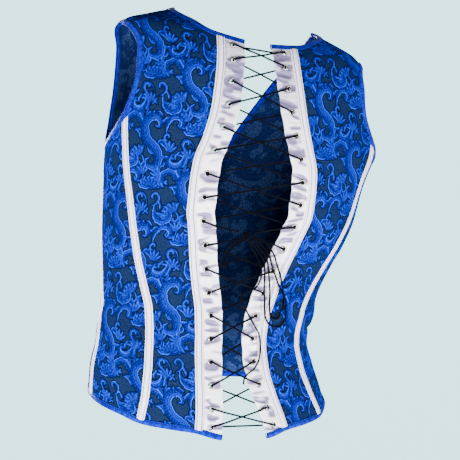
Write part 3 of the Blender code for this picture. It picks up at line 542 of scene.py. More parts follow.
# A cord's mesh: the tube with closed ends, its UV running along the length and round
def makeCord(name, points, radius, sides, material):
    rings = tubeGrid(points, radius, sides)
    grid = gridQuads(len(points), sides, closedRows=True)
    flat = rings.reshape(-1, 3)
    turned = facing(grid, flat, (rings - points[:, None]).reshape(-1, 3))
    count, last = len(flat), (len(points) - 1) * sides
    k = np.arange(sides)
    after = (k + 1) % sides
    caps = np.vstack([np.column_stack([k, after, np.full(sides, count)]),
                      np.column_stack([last + after, last + k, np.full(sides, count + 1)])])
    if turned[0, 0] != grid[0, 0]:
        caps = caps[:, ::-1]
    length = runLength(points)
    uv = np.column_stack([np.repeat(length, sides), np.tile(k / sides, len(points))])
    return makeMesh(name, np.vstack([flat, [points[0], points[-1]]]), turned.tolist() + caps.tolist(),
                    [material], uv=np.vstack([uv, [[0, 0], [length[-1], 0]]]))


# Puts a piece on the body, in place of its nodes, which it hides; its slot is not used
def place(piece, nodes, slot):
    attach(piece, "root")
    if nodes:
        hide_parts(*nodes)
    return piece


# Camera, stage and light

view = {"target": (0.0205, 0.0, -0.295), "azimuth": 158.0, "elevation": 6.0, "distance": 2.6, "lens": 143.3}
studio = {"floorHeight": -1.90, "floorRadius": 3.6, "bend": 1.6, "wallHeight": 4.5, "paper": "#7fa6a8",
          "glow": 6.2, "air": "#eef4f4", "airStrength": 0.45}
# Three lamps on the camera's side, one on the far side and one for the wall: place, size, power, colour
lamps = {
    "leftLamp": ((2.0, 1.2, -1.15), 0.8, 200.0, "#fbfcff"),
    "rightLamp": ((-1.6, 1.6, -1.10), 0.8, 150.0, "#f8faff"),
    "frontLamp": ((0.9, 2.4, -0.95), 0.7, 95.0, "#ffffff"),
    "fillLamp": ((0.4, -2.7, -0.1), 1.6, 130.0, "#fbfcff"),
    "wallLamp": ((0.0, -1.6, 1.9), 2.4, 50.0, "#ffffff"),
}

az, el = np.radians(view["azimuth"]), np.radians(view["elevation"])
cameraData = bpy.data.cameras.new("camera")
cameraData.lens = view["lens"]
cameraData.sensor_width = 36
cameraData.clip_end = 50
camera = bpy.data.objects.new("camera", cameraData)
away = Vector((np.sin(az) * np.cos(el), -np.cos(az) * np.cos(el), np.sin(el)))
camera.location = Vector(view["target"]) + away * view["distance"]
camera.rotation_euler = (-away).to_track_quat("-Z", "Y").to_euler()
bpy.context.scene.collection.objects.link(camera)
bpy.context.scene.camera = camera

for name, (where, size, power, colour) in lamps.items():
    lampData = bpy.data.lights.new(name, "AREA")
    lampData.shape = "SQUARE"
    lampData.size = size
    lampData.energy = power
    lampData.color = hexColour(colour)[:3]
    lamp = bpy.data.objects.new(name, lampData)
    lamp.location = where
    aim = Vector((0.0, -5.0, 0.2)) if name == "wallLamp" else Vector(view["target"])
    lamp.rotation_euler = (aim - Vector(where)).to_track_quat("-Z", "Y").to_euler()
    bpy.context.scene.collection.objects.link(lamp)

world = bpy.data.worlds.new("studioAir")
world.use_nodes = True
world.node_tree.nodes["Background"].inputs["Color"].default_value = hexColour(studio["air"])
world.node_tree.nodes["Background"].inputs["Strength"].default_value = studio["airStrength"]
bpy.context.scene.world = world


# Painted paper of the studio's floor and round wall: matt, a grey green that glows to a pale ground
def studioPaper():
    material = newMaterial("studioPaper", 0.9)
    values = {"Base Color": hexColour(studio["paper"]), "Emission Color": hexColour(studio["paper"]),
              "Emission Strength": studio["glow"]}
    for key, value in values.items():
        material.node_tree.nodes["Principled BSDF"].inputs[key].default_value = value
    return material


# The stage: a flat floor turned up into a wall all round, a profile turned about Z
def buildStage():
    bend = np.linspace(0, pi / 2, 14)
    radius = np.concatenate([[0.02, 1.0, 2.0], studio["floorRadius"] + studio["bend"] * np.sin(bend),
                             [studio["floorRadius"] + studio["bend"]]])
    height = np.concatenate([[0, 0, 0], studio["bend"] * (1 - np.cos(bend)), [studio["wallHeight"]]])
    sides = 72
    turn = np.arange(sides) * 2 * pi / sides
    level = np.broadcast_to(height[:, None] + studio["floorHeight"], (len(radius), sides))
    points = np.stack([radius[:, None] * np.cos(turn), radius[:, None] * np.sin(turn), level], axis=-1)
    quads = gridQuads(len(radius), sides, closedRows=True)
    flat = points.reshape(-1, 3)
    inward = np.array([0.0, 0.0, 1.5]) - flat
    stage = makeMesh("studioFloor", flat, facing(quads, flat, inward), [studioPaper()])
    stage.visible_shadow = stage.visible_diffuse = stage.visible_glossy = False


buildStage()
print("camera and stage ready")

# Lacing

lacing = {"radius": 0.00125, "edgeLift": 0.0018, "crossingLift": 0.0014, "knotHeight": -0.2920,
          "knotLean": 0.48, "knotShare": 0.25, "knotRise": 0.0016, "pull": 0.25, "outside": 0.0022,
          "inside": 0.0036, "toCentre": 0.0005, "bendReach": 0.0013, "spacing": 0.0014, "sides": 10}

knotSize = {"trefoil": (0.00215, 0.0019, 0.00150), "wrap": (0.0007, 0.0033, 0.0036)}

# The bow's cords: rows of degrees, height and lift over the face, then the two ends from the knot
bowCords = {
    "bow_loop_outer": ([
        (-4.5, -0.3085, -0.0010), (-9.5, -0.3240, 0.0035), (-11.5, -0.3400, 0.0048),
        (-13.0, -0.3600, 0.0048), (-14.8, -0.3780, 0.0042), (-16.0, -0.3940, 0.0032),
        (-17.5, -0.4060, 0.0030), (-20.0, -0.4145, 0.0030), (-23.5, -0.4185, 0.0030),
        (-26.8, -0.4190, 0.0030), (-28.8, -0.4130, 0.0030), (-29.6, -0.4040, 0.0030),
        (-29.0, -0.3950, 0.0034), (-27.2, -0.3850, 0.0050), (-25.0, -0.3745, 0.0060),
        (-21.8, -0.3610, 0.0050), (-18.2, -0.3480, 0.0048), (-14.8, -0.3340, 0.0048),
        (-11.5, -0.3180, 0.0044), (-6.5, -0.3030, 0.0010)],
        (-0.0035, 0.0046, -0.0053), (-0.0062, 0.0060, -0.0016)),
    "bow_loop_inner": ([
        (-5.5, -0.3060, -0.0008), (-10.5, -0.3205, 0.0040), (-13.2, -0.3380, 0.0048),
        (-15.0, -0.3520, 0.0048), (-16.5, -0.3650, 0.0046), (-17.8, -0.3780, 0.0032),
        (-18.6, -0.3900, 0.0030), (-20.2, -0.4010, 0.0030), (-22.6, -0.4080, 0.0030),
        (-25.2, -0.4070, 0.0030), (-26.4, -0.4000, 0.0030), (-26.2, -0.3900, 0.0030),
        (-25.6, -0.3765, 0.0030), (-24.2, -0.3640, 0.0034), (-21.0, -0.3480, 0.0040),
        (-17.2, -0.3320, 0.0048), (-12.8, -0.3130, 0.0050), (-8.0, -0.3000, 0.0038)],
        (-0.0062, 0.0042, -0.0041), (-0.0088, 0.0037, -0.0015)),
    "bow_tail": ([
        (-2.5, -0.3070, -0.0030), (-6.5, -0.3210, -0.0004), (-9.2, -0.3350, 0.0042),
        (-10.2, -0.3440, 0.0050), (-10.2, -0.3520, 0.0048), (-9.6, -0.3590, 0.0050),
        (-8.2, -0.3645, 0.0048), (-6.2, -0.3680, 0.0026), (-4.0, -0.3710, 0.0008),
        (-2.8, -0.3770, 0.0004), (-3.8, -0.3840, 0.0008), (-5.4, -0.3930, 0.0030),
        (-8.2, -0.4050, 0.0052), (-11.5, -0.4175, 0.0046), (-14.0, -0.4270, 0.0044),
        (-15.4, -0.4380, 0.0032), (-15.7, -0.4480, 0.0030), (-14.8, -0.4600, 0.0032),
        (-12.6, -0.4700, 0.0045), (-9.5, -0.4780, 0.0050), (-6.5, -0.4825, 0.0062),
        (-4.4, -0.4880, 0.0056), (-3.4, -0.4970, 0.0030)],
        (-0.0008, 0.0044, -0.0062), None),
    "bow_loop_left": ([
        (5.0, -0.2995, 0.0028), (7.4, -0.3060, 0.0030), (9.0, -0.3150, 0.0022),
        (10.2, -0.3260, 0.0012), (10.1, -0.3345, 0.0010), (9.0, -0.3375, 0.0010),
        (8.1, -0.3320, 0.0010), (7.8, -0.3230, 0.0010), (6.4, -0.3130, 0.0004),
        (4.0, -0.3050, -0.0016)],
        (0.0062, 0.0043, -0.0041), (0.0035, 0.0047, -0.0053)),
}


# Black lacing cord: braided polyester, a soft sheen from its crossing strands
def braidedCord():
    material = newMaterial("braidedCord", 0.55, 0.0, "#a8b4d8", 0.08)
    tree = material.node_tree
    along, around = clothParts(tree)
    strands = []
    for way in (1, -1):  # strands every 1.6 mm along, six round, drawn a little coarse to show
        turned = mathNode(tree, "MULTIPLY_ADD", around, way * 6 * pi,
                          mathNode(tree, "MULTIPLY", along, 2 * pi / 0.0032))
        strands.append(mathNode(tree, "SINE", turned))
    braid = mathNode(tree, "MAXIMUM", *strands)
    tone = addNode(tree, "ShaderNodeMapRange", None, {"Value": braid, "From Min": -0.6, "From Max": 1.0})
    colour = mixColour(tree, tone.outputs[0], "#010102", "#04050a")
    return finished(material, colour, braid, 0.0003, 1.0)


# Points evenly spaced along a smooth curve through a route's own points: cubic pieces whose
# slopes are the differences of their neighbours
def smoothRoute(points, spacing):
    points = np.array(points, float)
    length = runLength(points)
    tangent = np.gradient(points, length, axis=0)
    dense = np.linspace(0, length[-1], 1200)
    i = np.clip(np.searchsorted(length, dense) - 1, 0, len(points) - 2)
    step = (length[i + 1] - length[i])[:, None]
    t = (dense - length[i])[:, None] / step
    curve = cubic(t, step, points[i], points[i + 1], tangent[i], tangent[i + 1])
    run = runLength(curve)
    return rowsAt(np.linspace(0, run[-1], max(4, int(round(run[-1] / spacing)) + 1)), run, curve)


# A route of straight runs with its corners rounded: sampled closely, then averaged with a bell
# weight along its length
def roundedRoute(points, reach, spacing):
    points = np.array(points, float)
    length = runLength(points)
    fine = 0.0004
    dense = rowsAt(np.arange(0, length[-1], fine), length, points)
    half = int(3 * reach / fine)
    weight = np.exp(-0.5 * (np.arange(-half, half + 1) * fine / reach) ** 2)
    weight /= weight.sum()
    padded = np.pad(dense, ((half, half), (0, 0)), mode="edge")
    smooth = np.column_stack([np.convolve(column, weight, mode="valid") for column in padded.T])
    step = int(round(spacing / fine))
    return np.vstack([smooth[::step], smooth[-1:]])


# Centre of an eyelet on the placket's face, its outward direction and two square to it
def eyeletPlace(side, z):
    angle, z = seamAngle("halfGap", np.array(z), side, eyeletInset), np.array(z)
    centre = form(angle, z)
    normal = outward(form, angle, z)
    acrossWay = form(angle + 0.01, z) - centre
    acrossWay = unit(acrossWay - normal * (acrossWay @ normal))
    return centre, normal, acrossWay, np.cross(normal, acrossWay)


# A place over the placket's free edge, lifted by a height
def edgePlace(side, z, height):
    return lifted(seamAngle("halfGap", np.array(z), side), np.array(z), height)


# Where the lace comes out of an eyelet, drawn towards the gap, and where it lies inside
def eyeletEnds(side, number):
    centre, normal, acrossWay, upWay = eyeletPlace(side, eyeletHeights[number - 1])
    out = centre + normal * lacing["outside"] - acrossWay * side * lacing["toCentre"]
    return out, centre - normal * lacing["inside"]


# A strand across the gap outside: over both free edges, over or under its partner
def outerLink(start, end):
    (startSide, startNumber), (endSide, endNumber) = start, end
    startZ, endZ = eyeletHeights[startNumber - 1], eyeletHeights[endNumber - 1]
    share = eyeletInset / sum(eyeletInset + float(follow(cut, z)[0]) for z in (startZ, endZ))
    first = edgePlace(startSide, startZ + (endZ - startZ) * share, lacing["edgeLift"])
    last = edgePlace(endSide, endZ + (startZ - endZ) * share, lacing["edgeLift"])
    leftNumber = startNumber if startSide > 0 else endNumber
    over = 1 if leftNumber == min(startNumber, endNumber) else -1
    normal = outward(form, np.array(0.0), np.array((startZ + endZ) / 2))
    return [first, (first + last) / 2 + normal * over * lacing["crossingLift"], last]


# The lace from the knot through its eyelets, outside and inside by turns, back to the knot
def lacePath(eyelets, knot, knotRise):
    points = []
    for order, (side, number) in enumerate(eyelets):
        outside, inside = eyeletEnds(side, number)
        z = eyeletHeights[number - 1] + (knot[2] - outside[2]) * lacing["pull"]
        edge = edgePlace(side, z, lacing["edgeLift"])
        nearKnot = knot + (edge - knot) * lacing["knotShare"] + [0, 0, knotRise]
        if order == 0:
            points += [nearKnot, edge]
        enters = order % 2 == 0
        points += [outside, inside] if enters else [inside, outside]
        if order == len(eyelets) - 1:
            points += [edge, nearKnot]
            continue
        nextSide, nextNumber = eyelets[order + 1]
        if enters:
            over = 0 if number == nextNumber else (1 if (number < nextNumber) == (side > 0) else -1)
            normal = outward(form, np.array(0.0), np.array(eyeletHeights[number - 1]))
            middle = (inside + eyeletEnds(nextSide, nextNumber)[1]) / 2
            points += [middle + normal * over * lacing["crossingLift"]]
        else:
            points += outerLink((side, number), (nextSide, nextNumber))
    return np.array(points)


# The bow's knot: a trefoil of cord drawn tight, with one turn round its middle
def buildKnot(knot, cordFinish):
    t = np.linspace(0, 2 * pi, 120)
    trefoil = np.column_stack([np.sin(t) + 2 * np.sin(2 * t), np.sin(3 * t), np.cos(t) - 2 * np.cos(2 * t)])
    trefoil = trefoil * knotSize["trefoil"]
    wrap = np.column_stack([np.sin(t), np.cos(t), np.sin(t)]) * knotSize["wrap"]
    parts = []
    for curve in (trefoil, wrap):
        rings = tubeGrid(curve, lacing["radius"], lacing["sides"])[:-1]
        flat = rings.reshape(-1, 3)
        grid = gridQuads(len(rings), lacing["sides"], closedColumns=True, closedRows=True)
        parts.append((flat, facing(grid, flat, (rings - curve[:-1, None]).reshape(-1, 3))))
    flat, quads = joined(parts)
    turn = np.arctan2(flat[:, 1], flat[:, 2])
    uv = np.column_stack([flat[:, 0] - flat[:, 2] + knot[0] - knot[2], turn / 2])
    place(makeMesh("bowKnotCord", flat + knot, quads, [cordFinish], uv=uv), ["bow_knot"], "cord")


# A cord along a route, in place of its node
def layCord(name, route, cordFinish):
    cord = makeCord(name + "_cord", route, lacing["radius"], lacing["sides"], cordFinish)
    return place(cord, [name], "cord")


# The knot between both free edges, the two laces from it, and the bow's cords
def buildLacing():
    cordFinish = braidedCord()
    knot = (edgePlace(1, lacing["knotHeight"], lacing["edgeLift"]) * (1 - lacing["knotLean"])
            + edgePlace(-1, lacing["knotHeight"], lacing["edgeLift"]) * lacing["knotLean"])
    upper = [(1 if k % 2 == 0 else -1, 9 - k) for k in range(9)]
    upper += [(-side, number) for side, number in upper[::-1]]
    lower = [(side, 19 - number) for side, number in upper]
    for name, eyelets, way in (("lace_upper", upper, 1), ("lace_lower", lower, -1)):
        path = lacePath(eyelets, knot, way * lacing["knotRise"])
        route = roundedRoute(path, lacing["bendReach"], lacing["spacing"])
        layCord(name, route, cordFinish)
    buildKnot(knot, cordFinish)
    for name, (rows, startOff, endOff) in bowCords.items():
        rows = np.array(rows)
        route = [knot + np.array(startOff)] + list(lifted(np.radians(rows[:, 0]), rows[:, 1], rows[:, 2]))
        if endOff is not None:
            route.append(knot + np.array(endOff))
        route = smoothRoute(route, lacing["spacing"])
        cord = layCord(name, route, cordFinish)


buildLacing()
print("lacing ready")


# Damask: its pattern is charted here, a scroll damask of the usual kind, in millimetres.
# Each band is a line of places (x, y, half width).
motifs = {
    "scroll": [(4, 19, .6), (9, 17, 1.8), (13, 21, 2.8), (12, 28, 3.8), (4, 33, 4.8), (-6, 29, 5.6),
               (-12, 18, 6.0), (-11, 5, 6.2), (-3, -6, 6.2), (5, -17, 5.8), (6, -28, 5.0), (-1, -36, 4.2),
               (-9, -34, 3.2), (-11, -27, 2.2), (-6, -23, .8)],
    "hook": [(0, 0, 1.0), (5, -2, 2.2), (8, 3, 3.0), (5, 10, 3.6), (-4, 12, 4.0), (-12, 7, 3.6),
             (-15, -3, 2.8), (-14, -12, 1.6), (-12, -18, .5)],
    "curl": [(0, 0, .6), (3, 0, 1.4), (4, 4, 1.9), (0, 7, 2.1), (-5, 5, 2.1), (-7, -1, 1.8), (-5, -8, 1.2),
             (0, -12, .5)],
    "petal": [(0, 0, 1.0), (0, 6, 2.4), (0, 12, .3)],
    "leaf": [(0, 0, .6), (2, 6, 2.6), (0, 13, 2.4), (-1, 19, .3)],
    "stem": [(0, 0, .4), (6, 6, .9), (9, 14, 1.1), (4, 22, 1.1), (-4, 21, 1.0), (-5, 14, .8), (-1, 12, .4)],
    "finger": [(0, 0, .5), (1.5, 5, 1.5), (0, 11, 1.6), (-2, 14, .4)],
}

# Where the motifs stand in the repeat: motif, x, y, degrees, size, 1 or -1 for mirrored
layout = [
    ("scroll", 0, 0, 8, 1.0, 1), ("leaf", 9, 25, -62, .8, 1), ("leaf", -11, 27, 48, .9, -1),
    ("leaf", -17, 12, 84, .7, 1), ("leaf", -12, -8, 128, .8, 1), ("leaf", 7, -4, -70, .8, -1),
    ("leaf", 12, -20, -104, .8, 1), ("leaf", 8, -36, -150, .7, 1), ("curl", 21, 4, 30, .8, 1),
    ("hook", 33, 22, -15, .9, 1), ("hook", 31, -24, 165, .9, 1), ("hook", 83, 22, 15, .9, -1),
    ("hook", 85, -24, -165, .9, -1), ("curl", 48, -4, 20, .9, 1), ("curl", 68, -4, -20, .9, -1),
    ("leaf", 58, -34, 180, .9, 1), ("leaf", 54, -36, 120, .6, 1), ("leaf", 62, -36, -120, .6, -1),
    ("curl", 42, 46, 200, .8, 1), ("curl", 74, 46, -200, .8, -1), ("leaf", 96, 2, 20, .8, 1),
    ("leaf", 102, 40, -30, .8, 1), ("leaf", 20, 56, 10, .7, 1), ("leaf", -24, 50, -20, .7, -1),
]
layout += [("petal", 58, 10, 25 * k, 1.5, 1) for k in range(-3, 4)]
layout += [("petal", 58, -22, 45 + 90 * k, .55, 1) for k in range(4)]
layout += [("petal", x, y, 72 * k, .42, 1) for x, y in ((17, 44), (-19, 36), (36, -48), (82, -48))
           for k in range(5)]
layout += [("finger", x, y, start + 27 * k, size, mirror) for x, y, start, size, mirror in (
    (21, -14, -70, 1.1, 1), (-20, -24, 40, 1.1, -1), (45, 28, -50, 1.0, 1), (72, 30, 10, 1.0, -1),
    (14, -50, 120, 1.1, 1), (96, -22, -30, 1.1, 1), (60, 56, -60, .9, -1), (-8, 52, -45, 1.0, 1))
    for k in range(5)]
layout += [("stem", *entry) for entry in (
    (26, 34, 40, .9, 1), (92, 30, -40, .9, -1), (18, -30, 190, .8, 1), (44, -20, 100, .8, -1),
    (72, -20, -100, .8, 1), (0, 64, 60, .9, 1), (104, -40, 150, .8, -1))]
# The repeat's size and its tables' pitch, the reach round a band, teeth and lobes: all in mm
damask = {"width": 116, "height": 150, "pitch": 0.5, "reach": 7.0, "teeth": 3.4, "lobe": 7.5,
          "boldness": 1.02}


# A motif's band moved to its place, with curved pieces through its places
def bandPlaces(motif, x, y, degrees, size, mirror):
    rows = curveThrough(motifs[motif], 5) * [size * mirror, size, size]
    turn = np.radians(degrees)
    px, py, half = rows.T
    return np.column_stack([x + px * np.cos(turn) - py * np.sin(turn),
                            y + px * np.sin(turn) + py * np.cos(turn), half * damask["boldness"]])


# The bands of the layout wherever they reach the repeat, each with the length along it: at every
# whole step, and once more half a width and half a height on, a half-drop repeat
def placedBands():
    found = []
    size = np.array([damask["width"], damask["height"], 0])
    margin = 12
    for entry in layout:
        band = bandPlaces(*entry)
        length = runLength(band[:, :2])
        for stepX, stepY, drop in product(range(-2, 2), range(-2, 2), (0, 0.5)):
            moved = band + np.array([stepX + drop, stepY + drop, 0]) * size
            low, high = moved[:, :2].min(axis=0) - margin, moved[:, :2].max(axis=0) + margin
            if np.all(high >= 0) and np.all(low <= size[:2]):
                found.append((moved, length))
    return found


# Draws one straight piece of a band in both tables, wherever it lies deeper than what is there.
# Depth is the half width less the distance to the band's line, and its bright side is lobed
# like a leaf; the light leans across the band, with teeth along its dark side and a vein to
# each notch between two lobes.
def drawPiece(inside, light, xs, ys, start, end, startLength):
    (ax, ay, aw), (bx, by, bw) = start, end
    edge = max(aw, bw) + damask["reach"]
    i0, i1 = np.searchsorted(xs, [min(ax, bx) - edge, max(ax, bx) + edge])
    j0, j1 = np.searchsorted(ys, [min(ay, by) - edge, max(ay, by) + edge])
    if i0 >= i1 or j0 >= j1:
        return
    gx, gy = xs[i0:i1, None] - ax, ys[None, j0:j1] - ay
    run = np.hypot(bx - ax, by - ay) + 1e-9
    ux, uy = (bx - ax) / run, (by - ay) / run
    t = np.clip((gx * ux + gy * uy) / run, 0, 1)
    width = aw + (bw - aw) * t
    across = (gy * ux - gx * uy) / np.maximum(width, 0.6)
    along = startLength + run * t
    lobe = np.abs(np.sin(pi * along / damask["lobe"]))
    leafy = np.clip(width - 1.5, 0, 2.5) * np.clip(across * 3, 0, 1)
    depth = width - np.hypot(gx - ux * run * t, gy - uy * run * t) + leafy * (lobe - 0.45)
    teeth = np.where(across < 0, np.sin(along * 2 * pi / damask["teeth"] + across * 2.4), 0)
    shade = np.clip(across * 0.9, -1, 1) + 0.55 * teeth * np.clip(width - 1.6, 0, 1)
    shade = shade - 1.1 * np.clip(leafy, 0, 1) * np.exp(-(lobe / 0.3) ** 2)
    block = inside[i0:i1, j0:j1]
    better = depth > block
    block[better] = depth[better]
    light[i0:i1, j0:j1][better] = np.broadcast_to(shade, depth.shape)[better]


# The repeat as two tables: how far inside a figure a place is, in mm, and the light on its threads
def damaskTile():
    columns, rows = int(damask["width"] / damask["pitch"]), int(damask["height"] / damask["pitch"])
    xs, ys = np.arange(columns) * damask["pitch"], np.arange(rows) * damask["pitch"]
    inside, light = np.full((columns, rows), -6.0), np.zeros((columns, rows))
    for band, length in placedBands():
        for k in range(len(band) - 1):
            drawPiece(inside, light, xs, ys, band[k], band[k + 1], length[k])
    return inside, light


# Reads a table of the repeat at cloth places in metres, between its points, over and over
def readTile(tile, uv, shift):
    columns, rows = tile.shape
    i = (uv[..., 0] + shift[0]) * 1000 / damask["pitch"]
    j = (uv[..., 1] + shift[1]) * 1000 / damask["pitch"]
    i0, j0 = np.floor(i).astype(int), np.floor(j).astype(int)
    return amongFour(tile, i0 % columns, j0 % rows, (i0 + 1) % columns, (j0 + 1) % rows, i - i0, j - j0)


# Outer face of the damask: a matt navy ground of fine threads, bright satin figures with light
# rims on one side and a dark line outside them, the sheen of polyester brocade
def damaskFace():
    material = newMaterial("blueDamask", 0.42, 0.16, "#1c48c8", 0.0)
    tree = material.node_tree
    inside, light = named(tree, "figure"), named(tree, "light")
    grain = clothNoise(tree, 1.1, 2.6, 3.0)
    speck = clothNoise(tree, 2.6, 1.3, 2.0, 7.0)
    patch = clothNoise(tree, 42, 60, 2.0, 3.0)
    mottle = clothNoise(tree, 3.2, 5.0, 4.0, 13.0)
    wobble = mathNode(tree, "MULTIPLY_ADD", speck, 1.1, inside)
    figure = ramp(tree, wobble, 0.35, 0.95)
    outline = mathNode(tree, "SUBTRACT", ramp(tree, wobble, -1.5, 0.1), figure)
    ground = mixColour(tree, ramp(tree, grain, 0.36, 0.66), "#0c1526", "#152441")
    ground = mixColour(tree, ramp(tree, mottle, 0.5, 0.8, 0, 0.5), ground, "#19294b")
    ground = mixColour(tree, ramp(tree, outline, 0.2, 0.9), ground, "#060a1a")
    lit = mathNode(tree, "MULTIPLY_ADD", mottle, 2.0, mathNode(tree, "SUBTRACT", light, 0.45))
    bright = mixColour(tree, ramp(tree, lit, -0.4, 1.3), "#030d46", "#0427a0")
    line = bandOf(tree, inside, (1.5, 1.9), (2.3, 2.8))
    vein = bandOf(tree, inside, (3.9, 4.3), (4.7, 5.2))
    line = mathNode(tree, "MULTIPLY", mathNode(tree, "MAXIMUM", line, vein), 0.85)
    bright = mixColour(tree, line, bright, "#050c2e")
    rim = mathNode(tree, "MULTIPLY", ramp(tree, inside, 1.7, 0.7), ramp(tree, light, 0.1, 0.8))
    bright = mixColour(tree, rim, bright, "#0642cc")
    colour = mixColour(tree, figure, ground, bright)
    colour = mixColour(tree, ramp(tree, patch, 0.4, 0.7, 0.0, 0.3), colour, "#08143a")
    height = mathNode(tree, "MULTIPLY_ADD", grain, 0.5, figure)
    return finished(material, colour, height, 0.0004, 0.8, ramp(tree, figure, 0, 1, 0.7, 0.5))


# Reverse of the damask: the weave's floating threads, paler and speckled, the figures dull
def damaskReverse():
    material = newMaterial("damaskReverse", 0.62, 0.03, "#5f86e0", 0.12)
    tree = material.node_tree
    grain = clothNoise(tree, 1.4, 3.4, 3.0, 11.0)
    ground = mixColour(tree, ramp(tree, grain, 0.35, 0.65), "#0e1830", "#263a66")
    dull = mixColour(tree, ramp(tree, grain, 0.4, 0.7), "#070f28", "#13245a")
    colour = mixColour(tree, ramp(tree, named(tree, "figure"), -0.3, 0.4), ground, dull)
    return finished(material, colour, grain, 0.0003, 0.7)


# White satin of the plackets: smooth, with fine threads along. Its colour holds painted shade: lavender
# grey in the troughs of its puckers, round the eyelets and towards the top, and soft broad streaks across
# where the lacing pulls
def whiteSatin():
    material = newMaterial("whiteSatin", 0.34, 0.05)
    tree = material.node_tree
    streak = clothNoise(tree, 16, 3.2, 2.0, 2.0)
    thread = clothNoise(tree, 0.9, 5.0, 2.0, 5.0)
    # Painted shade: the streaks and the shade held at the placket's points darken the white towards
    # lavender grey
    shade = mathNode(tree, "MULTIPLY_ADD", streak, 0.7, named(tree, "paintedShade"))
    colour = mixColour(tree, ramp(tree, shade, 0.3, 1.5), "#f8f5ff", "#6a6184")
    colour = mixColour(tree, ramp(tree, thread, 0.4, 0.7, 0.0, 0.2), colour, "#a59cb8")
    height = mathNode(tree, "MULTIPLY_ADD", thread, 0.15, streak)
    return finished(material, colour, height, 0.0005, 0.7, ramp(tree, streak, 0.3, 0.7, 0.42, 0.28))


# Reverse of the plackets: plain cotton lining under the satin, matt white threads
def liningCotton():
    material = newMaterial("liningCotton", 0.8)
    tree = material.node_tree
    grain = clothNoise(tree, 1.2, 1.2, 2.0, 4.0)
    colour = mixColour(tree, ramp(tree, grain, 0.35, 0.65), "#8f8a9c", "#c4bfd0")
    return finished(material, colour, grain, 0.0002, 0.6)


# Satin ribbon of the bone tapes: a tight white weave, its ribs across drawn at 1.3 mm so that
# they show, with painted shade in the grooves along the stitching
def ribbonSatin():
    material = newMaterial("ribbonSatin", 0.45, 0.05)
    tree = material.node_tree
    across, along = clothParts(tree)
    rib = mathNode(tree, "SINE", mathNode(tree, "MULTIPLY", along, 2 * pi / 0.0013))
    grain = clothNoise(tree, 1.0, 2.2, 2.0, 6.0)
    stitchGrooveShade = bandOf(tree, mathNode(tree, "ABSOLUTE", across), (0.0025, 0.0030), (0.0037, 0.0043))
    colour = mixColour(tree, ramp(tree, grain, 0.35, 0.68), "#cdc6da", "#f0ebfa")
    # painted shade: a dark grey band along each stitched groove
    colour = mixColour(tree, ramp(tree, stitchGrooveShade, 0, 1, 0, 0.95), colour, "#565064")
    return finished(material, colour, mathNode(tree, "MULTIPLY_ADD", rib, 0.25, grain), 0.00025, 0.6)


# Royal blue satin of the bindings: cut on the bias, its threads aslant, a broad soft gleam, and
# painted shade along the groove where it is stitched
def bindingSatin():
    material = newMaterial("bindingSatin", 0.36, 0.05, "#1f50ff", 0.2)
    tree = material.node_tree
    along, across = clothParts(tree)
    slant = mathNode(tree, "ADD", along, across)
    twill = mathNode(tree, "SINE", mathNode(tree, "MULTIPLY", slant, 2 * pi / 0.0016))
    pucker = clothNoise(tree, 5.0, 9.0, 2.0, 9.0)
    colour = mixColour(tree, ramp(tree, pucker, 0.32, 0.7), "#030c66", "#041ea2")
    # painted shade: darker along the stitched groove
    groove = bandOf(tree, mathNode(tree, "ABSOLUTE", across), (0.0038, 0.0045), (0.0062, 0.0067))
    colour = mixColour(tree, mathNode(tree, "MULTIPLY", groove, 0.85), colour, "#020c5a")
    height = mathNode(tree, "MULTIPLY_ADD", twill, 0.12, pucker)
    return finished(material, colour, height, 0.0006, 0.6, ramp(tree, pucker, 0.3, 0.7, 0.4, 0.27))


# Sewing thread: two plies twisted, matt, its twist at 1 mm so that it shows
def sewingThread(name, dark, pale):
    material = newMaterial(name, 0.6)
    tree = material.node_tree
    twist = clothNoise(tree, 0.8, 0.8, 1.0, 8.0)
    colour = mixColour(tree, ramp(tree, twist, 0.35, 0.65), dark, pale)
    return finished(material, colour, twist, 0.0001, 0.5)


# Nickel plate of the eyelets: bright, a little warm, dulled in fine scratches round the rim, and
# near black on the ring's foot and down the barrel: painted shade
def nickelPlate():
    material = newMaterial("nickelPlate", 0.3)
    tree = material.node_tree
    tree.nodes["Principled BSDF"].inputs["Metallic"].default_value = 1.0
    wear = clothNoise(tree, 0.7, 3.0, 3.0, 1.0)
    colour = mixColour(tree, ramp(tree, wear, 0.35, 0.7), "#a2948e", "#e0d2cc")
    # painted shade on every place under about 0.35 mm over the face: the ring's foot all round and down the
    # barrel
    colour = mixColour(tree, ramp(tree, named(tree, "depth"), -0.95, -0.35), colour, "#1c1210")
    return finished(material, colour, wear, 0.00008, 0.5, ramp(tree, wear, 0.3, 0.7, 0.24, 0.46))


damaskSides = [damaskFace(), damaskReverse()]
placketSides = [whiteSatin(), liningCotton()]
finishes = {
    "ribbon": ribbonSatin(), "binding": bindingSatin(), "nickel": nickelPlate(),
    "greyThread": sewingThread("greyThread", "#3c3a48", "#6a6778"),
    "blueThread": sewingThread("blueThread", "#0418a0", "#1a4cd8"),
}
figureTile, lightTile = damaskTile()
print("damask charted", round(float((figureTile > 0).mean()), 2), "of it figures")

# The panels: metres between the points of a panel's grid, its lower part's reach across and up, its
# cut's shift in the pattern, and the further shift of the right one
panels = {
    "back": (0.0013, 0.140, 0.420, (0.031, 0.022), (0.043, 0.017)),
    "sideBack": (0.0015, 0.09, 0.38, (0.012, 0.061), (0.021, 0.0)),
    "front": (0.0032, 0.27, 0.33, (0.058, 0.010), (0.0, 0.0)),
}
yokeRows = {"seam": 60, "neck": 44, "front": 64}
seamHalf = 0.00015  # half the gap that is left between two panels at their seam
shoulderGap = 0.003  # the same at the shoulder, in radians


